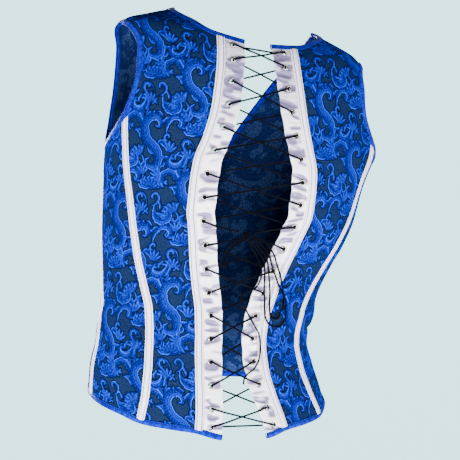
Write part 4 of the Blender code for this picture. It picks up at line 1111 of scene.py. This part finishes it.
# Heights at which upright lines, given as angles by height, meet a lower and an upper line:
# found by turns from a first guess, since each line's angle depends on its height
def meet(angleOf, lowLine, highLine, guess, count, repeats):
    low, high = np.full(count, guess[0]), np.full(count, guess[1])
    for repeat in range(repeats):
        low, high = lowLine(angleOf(low)), highLine(angleOf(high))
    return low, high


# Even shares up between two rows of heights
def fill(low, high, rows):
    return low[:, None] + (high - low)[:, None] * np.linspace(0, 1, rows)[None, :]


# Height of the hem at an angle
def hemHeight(angle):
    return lineHeight(hemLine, angle)


# Places of a panel between two seams, from the hem to a line of heights, in even shares
def lowerPatch(innerAngle, outerAngle, topHeight, columns, rows):
    share = np.linspace(0, 1, columns)
    low, high = meet(lambda z: innerAngle(z) + (outerAngle(z) - innerAngle(z)) * share,
                     hemHeight, topHeight, (-0.55, -0.17), columns, 7)
    z = fill(low, high, rows)
    return innerAngle(z) + (outerAngle(z) - innerAngle(z)) * share[:, None], z


# Places above it, straight between an inner and an outer line
def upperPatch(inner, outer, share):
    angle = inner[None, :, 0] + (outer - inner)[None, :, 0] * share[:, None]
    return angle, inner[None, :, 1] + (outer - inner)[None, :, 1] * share[:, None]


# Length up the cloth and round it, in metres, as seen from outside; the front's from its centre
def clothUV(angle, z, side=0):
    start = readTable(roundLength, roundAngles, np.full(np.shape(z), side * pi), z) if side else 0
    return np.stack([start - readTable(roundLength, roundAngles, angle, z),
                     readTable(upLength, roundAngles, angle, z)], axis=-1)


# Area of a grid of points: the sum of the cross products at its cells
def sheetArea(points):
    across, up = np.diff(points, axis=0)[:, :-1], np.diff(points, axis=1)[:-1]
    return float(np.linalg.norm(np.cross(across, up), axis=-1).sum())


# Prints a cloth piece's area as laid flat, and a rectangle that holds the cut
def declareCloth(piece, area, width, length):
    print(piece.name, "flat %.0f by %.0f mm, %.4f square metres" % (width * 1000, length * 1000, area))


# The pattern's two values at places of a panel
def patternFields(uv, name, side=1):
    shift = np.array(panels[name][3]) + np.array(panels[name][4]) * (side < 0)
    return {"figure": readTile(figureTile, uv, shift), "light": readTile(lightTile, uv, shift)}


# Outer and inner layers and their direction for places of the form
def layers(angle, z):
    normal = outward(form, angle, z)
    outer = form(angle, z)
    return outer, outer - normal * clothWall, normal


# Odd number of points that divide a length most nearly by a pitch
def odd(length, pitch):
    return 2 * int(round(length / pitch / 2)) + 1


# A back panel: a lower patch, and above it one from the placket's seam and the neck to
# the armhole
def buildBack(side, word):
    pitch, wide, high = panels["back"][:3]
    columns, lowRows = odd(wide, pitch), odd(high, pitch)
    beside = placketWidth + seamHalf
    angle, z = lowerPatch(lambda z: seamAngle("halfGap", z, side, beside),
                          lambda z: seamAngle("sideBackSeam", z, side, -seamHalf),
                          lambda a: np.full(np.shape(a), yokeHeight), columns, lowRows)
    corner = neckCorner(side, beside)
    seamZ = np.linspace(yokeHeight, corner[1], yokeRows["seam"] + 1)
    seam = np.column_stack([seamAngle("halfGap", seamZ, side, beside), seamZ])
    neck = alongLine(neckFrom(corner, 22), side, yokeRows["neck"] + 1)
    inner = np.vstack([seam, neck[1:]])
    outer = alongLine(backArmholeLine, side, len(inner))
    inner[-1, 0] = outer[-1, 0] = side * (pi / 2 - shoulderGap)
    upAngle, upZ = upperPatch(inner, outer, np.linspace(0, 1, columns))
    angle, z = np.hstack([angle, upAngle[:, 1:]]), np.hstack([z, upZ[:, 1:]])
    outer, inner, normal = layers(angle, z)
    uv = clothUV(angle, z)
    fields = patternFields(uv, "back", side)
    piece = makeFineShell("back_%s_cloth" % word, outer, inner, normal, damaskSides, uv, fields)
    place(piece, ["back_" + word], "jacquard")
    declareCloth(piece, sheetArea(outer), 0.20, 0.58)


# A side back panel: one patch from the hem to the underarm
def buildSideBack(side, word):
    pitch, wide, high = panels["sideBack"][:3]
    angle, z = lowerPatch(lambda z: seamAngle("sideBackSeam", z, side, seamHalf),
                          lambda z: seamAngle("sideSeam", z, side, -seamHalf),
                          lambda a: lineHeight(underarmLine, a), odd(wide, pitch), odd(high, pitch))
    outer, inner, normal = layers(angle, z)
    uv = clothUV(angle, z)
    fields = patternFields(uv, "sideBack", side)
    piece = makeFineShell("side_back_%s_cloth" % word, outer, inner, normal, damaskSides, uv, fields)
    place(piece, ["side_back_" + word], "jacquard")
    declareCloth(piece, sheetArea(outer), 0.12, 0.42)


# The front: two mirrored halves joined at its centre, each a lower patch with one above it
# from the armhole to the neck
def buildFront():
    pitch, wide, high = panels["front"][:3]
    columns, rows = int(wide / pitch), int(high / pitch)
    halves = []
    for side in (1, -1):
        angle, z = lowerPatch(lambda z: seamAngle("sideSeam", z, side, seamHalf),
                              lambda z: np.full(np.shape(z), side * pi),
                              lambda a: np.full(np.shape(a), bustHeight), columns, rows)
        armhole = alongLine(frontArmholeLine, side, yokeRows["front"])
        neck = alongLine(frontNeckLine, side, yokeRows["front"])
        armhole[-1, 0] = neck[-1, 0] = side * (pi / 2 + shoulderGap)
        neck[0, 0] = side * pi
        armhole[0] = angle[0, -1], z[0, -1]
        upAngle, upZ = upperPatch(armhole, neck, np.linspace(0, 1, columns))
        halves.append((np.hstack([angle, upAngle[:, 1:]]), np.hstack([z, upZ[:, 1:]]), side))
    count = halves[0][0].size
    allRows = halves[0][0].shape[1]
    quads = np.vstack([gridQuads(columns, allRows), gridQuads(columns, allRows)[:, ::-1] + count])
    renumber = np.arange(2 * count)
    centre = (columns - 1) * allRows + np.arange(rows)
    renumber[centre + count] = centre
    used, quads = np.unique(renumber[quads], return_inverse=True)
    quads = quads.reshape(-1, 4)
    outer, inner, normal, uv = [], [], [], []
    for angle, z, side in halves:
        for found, values in zip((outer, inner, normal), layers(angle, z)):
            found.append(values.reshape(-1, 3))
        uv.append(clothUV(angle, z, side).reshape(-1, 2))
    area = sum(sheetArea(o.reshape(columns, allRows, 3)) for o in outer)
    outer, inner, normal, uv = (np.vstack(found)[used] for found in (outer, inner, normal, uv))
    fields = patternFields(uv, "front")
    piece = makeShell("front_cloth", outer, inner, normal, quads, damaskSides, uv, fields)
    place(piece, ["front"], "jacquard")
    declareCloth(piece, area, 0.58, 0.58)


for side, word in bothSides:
    buildBack(side, word)
    buildSideBack(side, word)
buildFront()
print("panels ready")

# The plackets
placket = {"pitch": 0.0011, "length": 0.545, "holeRadius": 0.0030, "scallop": 0.0005, "drag": 0.0012}
# The puckers for each eyelet: how many, their rise, and the spans that each is drawn from
pucker = {"number": 5, "rise": 0.0012, "inset": (0.003, 0.025), "spread": 0.0275, "reach": (0.0060, 0.0140),
          "width": (0.0018, 0.0042), "slant": 0.35, "depth": (0.35, 1.0)}


# Puckers of the placket's cloth, uneven in place, length, depth and slant: a soft trough with a
# ridge beside it, several for each eyelet, and a low hump between two eyelets at the free edge.
# Returns the rise, and the painted shade for the satin's colour: deepest in each trough, a ring round each
# eyelet, and more towards the top of the placket.
def puckers(inset, z, side):
    random = np.random.default_rng(20 + side)
    rise, paintedShade = np.zeros(np.shape(z)), np.zeros(np.shape(z))
    for height in eyeletHeights:
        for number in range(pucker["number"]):
            middle = random.uniform(*pucker["inset"])
            level = height + random.uniform(-0.5, 0.5) * pucker["spread"]
            reach, width = random.uniform(*pucker["reach"]), random.uniform(*pucker["width"])
            slant = random.uniform(-pucker["slant"], pucker["slant"])
            depth = random.uniform(*pucker["depth"])
            off = (z - level - slant * (inset - middle)) / width
            fade = np.exp(-((inset - middle) / reach) ** 4)
            trough, ridge = np.exp(-off ** 2), np.exp(-(off + random.choice([-1.9, 1.9])) ** 2)
            rise = rise + depth * pucker["rise"] * fade * (0.7 * ridge - trough)
            # painted shade, deepest along the trough
            paintedShade = paintedShade + 1.9 * depth * fade * trough
        # painted shade in a ring round each eyelet, where the cloth also dips
        near = np.exp(-((z - height) / 0.005) ** 2 - ((inset - eyeletInset) / 0.007) ** 2)
        rise, paintedShade = rise * (1 - 0.8 * near) - placket["drag"] * 0.25 * near, paintedShade + 0.25 * near
    gap = np.interp(z, eyeletHeights[::-1], np.arange(len(eyeletHeights)))
    hump = np.sin(gap * pi) ** 2 * np.exp(-(inset / 0.011) ** 2)
    rise = rise + placket["drag"] * hump * (0.6 + 0.4 * np.sin(gap * 2.3 + side))
    ends = np.clip((eyeletHeights[0] + 0.004 - z) / 0.012, 0, 1)
    ends = ends * np.clip((z - eyeletHeights[-1] + 0.012) / 0.012, 0, 1)
    ends = ends * np.clip((0.0272 - inset) / 0.004, 0, 1)
    # the painted shade also grows towards the top of the placket, darker there as if less lit
    return rise * ends, paintedShade * ends + 0.5 * np.clip((z + 0.17) / 0.08, 0, 1)


# A placket: a grid from the free edge to the seam, puckered, without the cells over
# each eyelet
def buildPlacket(side, word):
    columns, rows = int(placketWidth / placket["pitch"]), int(placket["length"] / placket["pitch"])
    share = np.linspace(0, 1, columns)
    inset = share * (placketWidth - seamHalf)
    low, high = meet(lambda z: seamAngle("halfGap", z, side, inset), hemHeight,
                     lambda a: lineHeight(backNeckLine, a), (-0.57, -0.03), columns, 7)
    z = fill(low, high, rows)
    gap = np.interp(z, eyeletHeights[::-1], np.arange(len(eyeletHeights)))
    scallop = placket["scallop"] * np.cos(2 * pi * gap) * (1 - share[:, None]) ** 2
    inset = inset[:, None] - scallop
    angle = seamAngle("halfGap", z, side, inset)
    # the rise of the puckers, and the painted shade that the satin's colour reads
    rise, paintedShade = puckers(inset, z, side)
    normal = outward(form, angle, z)
    outer = form(angle, z) + normal * rise[..., None]
    inner = outer - normal * clothWall
    quads = gridQuads(columns, rows)
    middle = outer.reshape(-1, 3)[quads].mean(axis=1)
    kept = np.ones(len(quads), bool)
    for height in eyeletHeights:
        centre = eyeletPlace(side, height)[0]
        kept &= np.linalg.norm(middle - centre, axis=1) > placket["holeRadius"]
    uv = np.stack([inset, readTable(upLength, roundAngles, angle, z)], axis=-1)
    flat = outer.reshape(-1, 3)
    around = lifted(angle, z, rise + 0.001).reshape(-1, 3) - flat
    piece = makeShell("placket_%s_cloth" % word, flat, inner.reshape(-1, 3), around, quads[kept],
                      placketSides, uv.reshape(-1, 2), {"paintedShade": paintedShade.ravel()})
    place(piece, ["placket_" + word], "satin")
    declareCloth(piece, sheetArea(outer), 0.0385, 0.60)


for side, word in bothSides:
    buildPlacket(side, word)
print("plackets ready")


# Sewing: a stitch is a short closed spindle whose ends sink into the cloth; a row of them runs
# along a line of places, joined in one mesh
stitching = {"period": 0.0037, "length": 0.0021, "radius": 0.00024, "sink": 0.00022, "sides": 6}


# One row: five rings for each stitch, narrow at its ends, which two quads close
def stitchRow(points, normals, period):
    run = runLength(points)
    starts = np.arange(0.001, run[-1] - stitching["length"], period)
    share = np.array([0.0, 0.2, 0.5, 0.8, 1.0])
    at = starts[:, None] + share * stitching["length"]
    centre, normal = rowsAt(at, run, points), rowsAt(at, run, normals)
    across = np.cross(unit(centre[:, -1:] - centre[:, :1]), normal)
    centre = centre - normal * stitching["sink"] * (2 * share[:, None] - 1) ** 2
    radius = stitching["radius"] * np.array([0.35, 0.9, 1.0, 0.9, 0.35])
    turn = np.arange(stitching["sides"]) * 2 * pi / stitching["sides"]
    rings = centre[:, :, None] + radius[:, None, None] * (across[:, :, None] * np.cos(turn)[:, None]
                                                          + normal[:, :, None] * np.sin(turn)[:, None])
    sides, count = stitching["sides"], 5 * stitching["sides"]
    grid = gridQuads(5, sides, closedRows=True)
    caps = np.array([[0, 3, 2, 1], [0, 5, 4, 3]])
    one = np.vstack([grid[:, ::-1], caps, caps[:, ::-1] + count - sides])
    sample = rings[0].reshape(-1, 3)
    one = facing(one, sample, sample - sample.mean(axis=0))
    quads = (one[None] + (np.arange(len(starts)) * count)[:, None, None]).reshape(-1, 4)
    return rings.reshape(-1, 3), quads


# Joins several rows of stitches in one piece
def buildStitches(name, rows, thread, slot):
    points, quads = joined(rows)
    uv = np.column_stack([points[:, 0] + points[:, 1], points[:, 2]])
    place(makeMesh(name, points, quads, [finishes[thread]], uv=uv), [], slot)


# Bone tapes: ribbons stitched near both edges over a bone, domed between the two rows
tape = {"pitch": 0.0016, "columns": 15, "edge": 0.0009, "dome": 0.0006, "groove": 0.0005,
        "grooveAt": 0.6, "grooveWidth": 0.1, "overHem": 0.0045, "underTop": 0.0040, "stitchLift": 0.00012}
# The row of stitches along the placket's seam: its line, height and period
seamRow = (0.0259, 0.0001, 0.0042)
# Line of the cut, the tape's middle as a distance from it, and half the tape's width
tapeLines = {
    "placket_tape": ("halfGap", 0.03285, 0.00535), "side_back_tape": ("sideBackSeam", 0.0, 0.0056),
    "side_tape": ("sideSeam", 0.0, 0.0056),
}
armholeFoot = table(backArmholeLine[:2] + underarmLine)


# Height of a tape's upper end, a little under the neckline or the armhole's foot
def tapeTop(name, angle):
    degrees = np.abs(np.degrees(angle))
    if name == "placket_tape":
        return lineHeight(backNeckLine, angle) - tape["underTop"]
    return np.interp(degrees, armholeFoot[:, 0], armholeFoot[:, 1]) - tape["underTop"]


# Height of a tape over the cloth at a share across it, -1 to 1: a dome less two grooves
def tapeLift(share):
    groove = np.exp(-((np.abs(share) - tape["grooveAt"]) / tape["grooveWidth"]) ** 2)
    return seamHalf * 2 + tape["edge"] + tape["dome"] * (1 - share ** 2) - tape["groove"] * groove


# A tape along its line of the cut, with a row of stitches in each groove
def buildTape(name, side, word):
    column, middle, half = tapeLines[name]
    share = np.linspace(-1, 1, tape["columns"])
    extra = middle + share * half
    low, high = meet(lambda z: seamAngle(column, z, side, extra), lambda a: hemHeight(a) + tape["overHem"],
                     lambda a: tapeTop(name, a), (-0.55, -0.17), len(share), 9)
    rows = int((high - low).mean() / tape["pitch"])
    z = fill(low, high, rows)
    angle = seamAngle(column, z, side, extra[:, None])
    random = np.random.default_rng(5 + len(name) + side)
    wave = np.interp(np.arange(rows), np.linspace(0, rows, 40), random.uniform(-1, 1, 40))
    lift = tapeLift(share)[:, None] + 0.00008 * wave[None, :]
    normal = outward(form, angle, z)
    base = form(angle, z)
    outer, inner = base + normal * lift[..., None], base + normal * 2 * seamHalf
    across = np.broadcast_to((share * half)[:, None], z.shape)
    uv = np.stack([across, readTable(upLength, roundAngles, angle, z)], axis=-1)
    flat = outer.reshape(-1, 3)
    piece = makeShell("%s_%s_ribbon" % (name, word), flat, inner.reshape(-1, 3), normal.reshape(-1, 3),
                      gridQuads(len(share), rows), [finishes["ribbon"]] * 2, uv.reshape(-1, 2))
    place(piece, ["%s_%s" % (name, word)], "tape")
    declareCloth(piece, sheetArea(outer), 2 * half, 0.58 if "side" not in name else 0.44)
    grooveAt = tape["grooveAt"]
    height = float(tapeLift(np.array(grooveAt))) + tape["stitchLift"]
    lines = [(middle + grooveAt * sign * half, height, stitching["period"]) for sign in (-1, 1)]
    if name == "placket_tape":
        lines.append(seamRow)
    lineZ = np.linspace(low.mean() + 0.003, high.min() - 0.002, 260)
    sewn = []
    for at, height, period in lines:
        lineAngle = seamAngle(column, lineZ, side, at)
        direction = outward(form, lineAngle, lineZ)
        sewn.append(stitchRow(form(lineAngle, lineZ) + direction * height, direction, period))
    buildStitches("%s_%s_stitches" % (name, word), sewn, "greyThread", "tape")


for side, word in bothSides:
    for name in tapeLines:
        buildTape(name, side, word)
print("tapes ready")

# Bindings: a bias strip folded over an edge, stitched down near the inner edge of both legs.
# The section's places, in mm: inward from the edge, and over the outer face.
bindingSection = [
    (6.9, 0.35), (7.0, 0.8), (6.6, 1.25), (6.1, 1.3), (5.6, 0.95), (5.1, 1.3), (4.0, 1.55), (2.4, 1.65),
    (1.0, 1.6), (0.1, 1.35), (-0.7, 0.7), (-1.15, -0.3), (-1.15, -1.3), (-0.7, -2.3), (0.1, -2.95),
    (1.2, -3.15), (3.4, -3.1), (5.2, -2.9), (5.7, -2.6), (6.3, -2.85), (7.0, -2.4), (6.9, -1.95),
    (3.0, -1.95), (0.1, -1.95), (-0.35, -1.3), (-0.35, -0.3), (0.1, 0.3), (3.0, 0.35),
]
# Showing is the width of the strip that shows on both faces together
binding = {"pitch": 0.0020, "reach": 7, "stitchAt": 5.6, "stitchLift": 1.1, "past": 0.0016,
           "wander": 0.22, "showing": 0.018}


# Evenly spaced places along a line of angles and heights
def evenPlaces(angle, z, closed):
    run = runLength(form(angle, z))
    at = np.linspace(0, run[-1], int(run[-1] / binding["pitch"]) + 1)
    if closed:
        at = at[:-1]
    return np.interp(at, run, angle), np.interp(at, run, z)


# Average over neighbours, weighted by a bell, going round if closed
def smoothed(values, reach, closed):
    half = 3 * reach
    weight = np.exp(-0.5 * (np.arange(-half, half + 1) / reach) ** 2)
    weight /= weight.sum()
    padded = np.pad(values, ((half, half), (0, 0)), mode="wrap" if closed else "edge")
    return np.column_stack([np.convolve(column, weight, mode="valid") for column in padded.T])


# Steps over the surface from places, in a direction in space, by short stretches that each
# solve for the angle and height that go that way
def walkOver(angle, z, way, distance):
    for repeat in range(3):
        byAngle = (form(angle + 0.001, z) - form(angle - 0.001, z)) / 0.002
        byZ = (form(angle, z + 0.0005) - form(angle, z - 0.0005)) / 0.001
        aa, az, zz = (np.sum(p * q, axis=-1) for p, q in ((byAngle, byAngle), (byAngle, byZ), (byZ, byZ)))
        ga, gz = (np.sum(p * way, axis=-1) * distance / 3 for p in (byAngle, byZ))
        det = aa * zz - az * az
        angle, z = angle + (ga * zz - gz * az) / det, z + (gz * aa - ga * az) / det
    return angle, z


# A binding: its section carried along a line of the form, each of its places walked inward
# over the surface, then lifted; it wanders a little, as sewn by hand
def buildBinding(name, angle, z, inside, closed, flat):
    angle, z = evenPlaces(angle, z, closed)
    points, normal = form(angle, z), outward(form, angle, z)
    if closed:
        tangent = np.roll(points, -1, axis=0) - np.roll(points, 1, axis=0)
    else:
        tangent = np.gradient(points, axis=0)
    way = unit(np.cross(normal, tangent))
    way *= np.sign(np.dot(way[0], form(*inside) - points[0]))
    way = unit(smoothed(way, 3, closed))
    random = np.random.default_rng(len(name))
    count = len(points)
    knots = random.uniform(-1, 1, (max(8, count // 7), 2))
    knots[-1] = knots[0]
    wander = np.column_stack([np.interp(np.arange(count), np.linspace(0, count, len(knots)), knots[:, k])
                              for k in range(2)]) * binding["wander"]
    stations = []
    for inward, height in bindingSection:
        share = np.clip(inward / binding["reach"], 0, 1)
        reach = np.maximum(inward, 0) + wander[:, 0] * share
        at, level = walkOver(angle, z, way, reach / 1000)
        outwardWay = outward(form, at, level)
        body = height + wander[:, 1] * 0.5 * (height > 1) - wander[:, 1] * 0.5 * (height < -2.5)
        stations.append(form(at, level) + outwardWay * body[:, None] / 1000 + way * min(inward, 0) / 1000)
    grid = np.stack(stations, axis=1)
    sections = len(bindingSection)
    if not closed:
        grid[0] += (points[0] - points[1]) / binding["pitch"] * binding["past"]
        grid[-1] += (points[-1] - points[-2]) / binding["pitch"] * binding["past"]
    quads = gridQuads(count, sections, closedColumns=closed, closedRows=True)
    firstEnd = np.arange(sections)[::-1]
    lastEnd = np.arange(sections) + (count - 1) * sections
    flatGrid = grid.reshape(-1, 3)
    middle, top = count // 2, 7  # a place on the outer leg, to see which way the faces turn
    a, b, c = flatGrid[[middle * sections + top, (middle + 1) * sections + top,
                        (middle + 1) * sections + top + 1]]
    if np.dot(np.cross(b - a, c - a), normal[middle]) < 0:
        quads, firstEnd, lastEnd = quads[:, ::-1], firstEnd[::-1], lastEnd[::-1]
    faces = quads.tolist() + ([] if closed else [firstEnd.tolist(), lastEnd.tolist()])
    run = np.arange(count) * binding["pitch"]
    across = np.array([inward if height > -0.8 else -inward for inward, height in bindingSection]) / 1000
    uv = np.stack(np.broadcast_arrays(run[:, None], across[None, :]), axis=-1).reshape(-1, 2)
    piece = makeMesh(name + "_satin", flatGrid, faces, [finishes["binding"]], uv=uv)
    place(piece, [name], "binding")
    lineAngle, lineZ = walkOver(angle, z, way, np.full(count, binding["stitchAt"] / 1000))
    direction = outward(form, lineAngle, lineZ)
    row = form(lineAngle, lineZ) + direction * binding["stitchLift"] / 1000
    stitches = stitchRow(row, direction, stitching["period"])
    buildStitches(name + "_stitches", [stitches], "blueThread", "binding")


# The bound edges: the hem, the neckline from placket to placket, and both armholes
def buildBindings():
    backsAndFront = ["back_left_cloth", "back_right_cloth", "front_cloth"]
    starts = {side: float(seamAngle("halfGap", np.array(-0.572), side)) for side in (1, -1)}
    angle = np.linspace(starts[1], 2 * pi + starts[-1], 1200)
    folded = np.where(angle > pi, angle - 2 * pi, angle)
    buildBinding("hem_binding", angle, hemHeight(folded), (starts[1], -0.55), False, backsAndFront)
    runs = []
    for side in (1, -1):
        corner = neckCorner(side, 0.0)
        back = alongLine(neckFrom(corner, 19), side, 300)
        front = alongLine(frontNeckLine, side, 500)[::-1]
        front[0] = back[-1] = (side * pi / 2, 0.0)
        runs.append(np.vstack([back, front[1:]]))
    runs[1][:, 0] += 2 * pi
    runs[0][-1, 0], runs[1][-1, 0] = pi, pi
    line = np.vstack([runs[0], runs[1][::-1][1:]])
    buildBinding("neck_binding", *line.T, (line[0, 0], -0.06), False, backsAndFront)
    for side, word in bothSides:
        back = alongLine(backArmholeLine, side, 300)
        front = alongLine(frontArmholeLine, side, 300)[::-1]
        under = [p for p in underarmLine if p[0] < 99] + [(99, -0.200)]
        foot = alongLine(under, side, 200)[::-1]
        line = np.vstack([back, front[1:], foot[1:]])
        buildBinding("armhole_binding_" + word, *line.T, (side * np.radians(50), -0.152), True,
                     ["back_%s_cloth" % word, "front_cloth"])


buildBindings()
print("bindings ready")

# Eyelets: turned nickel rings with a barrel, their profile in mm: radius, and height over the face
eyeletProfile = [(2.75, 0.3), (2.9, 0.9), (3.2, 1.3), (3.7, 1.25), (4.05, 0.75), (4.6, 0.3), (4.65, 0.0),
                 (3.6, 0.0), (3.0, -0.1), (2.9, -1.7), (3.2, -1.95), (3.1, -2.2), (2.5, -2.6), (2.4, -1.2)]
eyelet = {"sides": 24, "sink": 0.0002, "ringRadius": 0.0032, "ringDepth": 0.0003}


# One side's eyelets: the profile turned round each eyelet's outward direction
def buildEyelets(side, word):
    profile, sides = np.array(eyeletProfile) / 1000, eyelet["sides"]
    turn = np.arange(sides) * 2 * pi / sides
    grid = gridQuads(sides, len(profile), closedColumns=True, closedRows=True)
    parts = []
    for height in eyeletHeights:
        centre, normal, acrossWay, upWay = eyeletPlace(side, height)
        radial = acrossWay * np.cos(turn)[:, None] + upWay * np.sin(turn)[:, None]
        rings = (centre - normal * eyelet["sink"] + profile[None, :, 1:] * normal
                 + profile[None, :, :1] * radial[:, None])
        wall = centre + radial[:, None] * eyelet["ringRadius"] - normal * eyelet["ringDepth"]
        flat = rings.reshape(-1, 3)
        parts.append((flat, facing(grid, flat, (rings - wall).reshape(-1, 3))))
    points, quads = joined(parts)
    nodes = ["eyelet_%s_%02d" % (word, number) for number in range(1, len(eyeletHeights) + 1)]
    # height under the face at each place, for the painted shade on the ring's foot and barrel
    depth = np.tile(-np.array(eyeletProfile)[:, 1], sides * len(eyeletHeights))
    place(makeMesh("eyelets_%s_rings" % word, points, quads, [finishes["nickel"]], uv=points[:, ::2],
                   fields={"depth": depth}), nodes, "nickel")


for side, word in bothSides:
    buildEyelets(side, word)
print("eyelets ready")
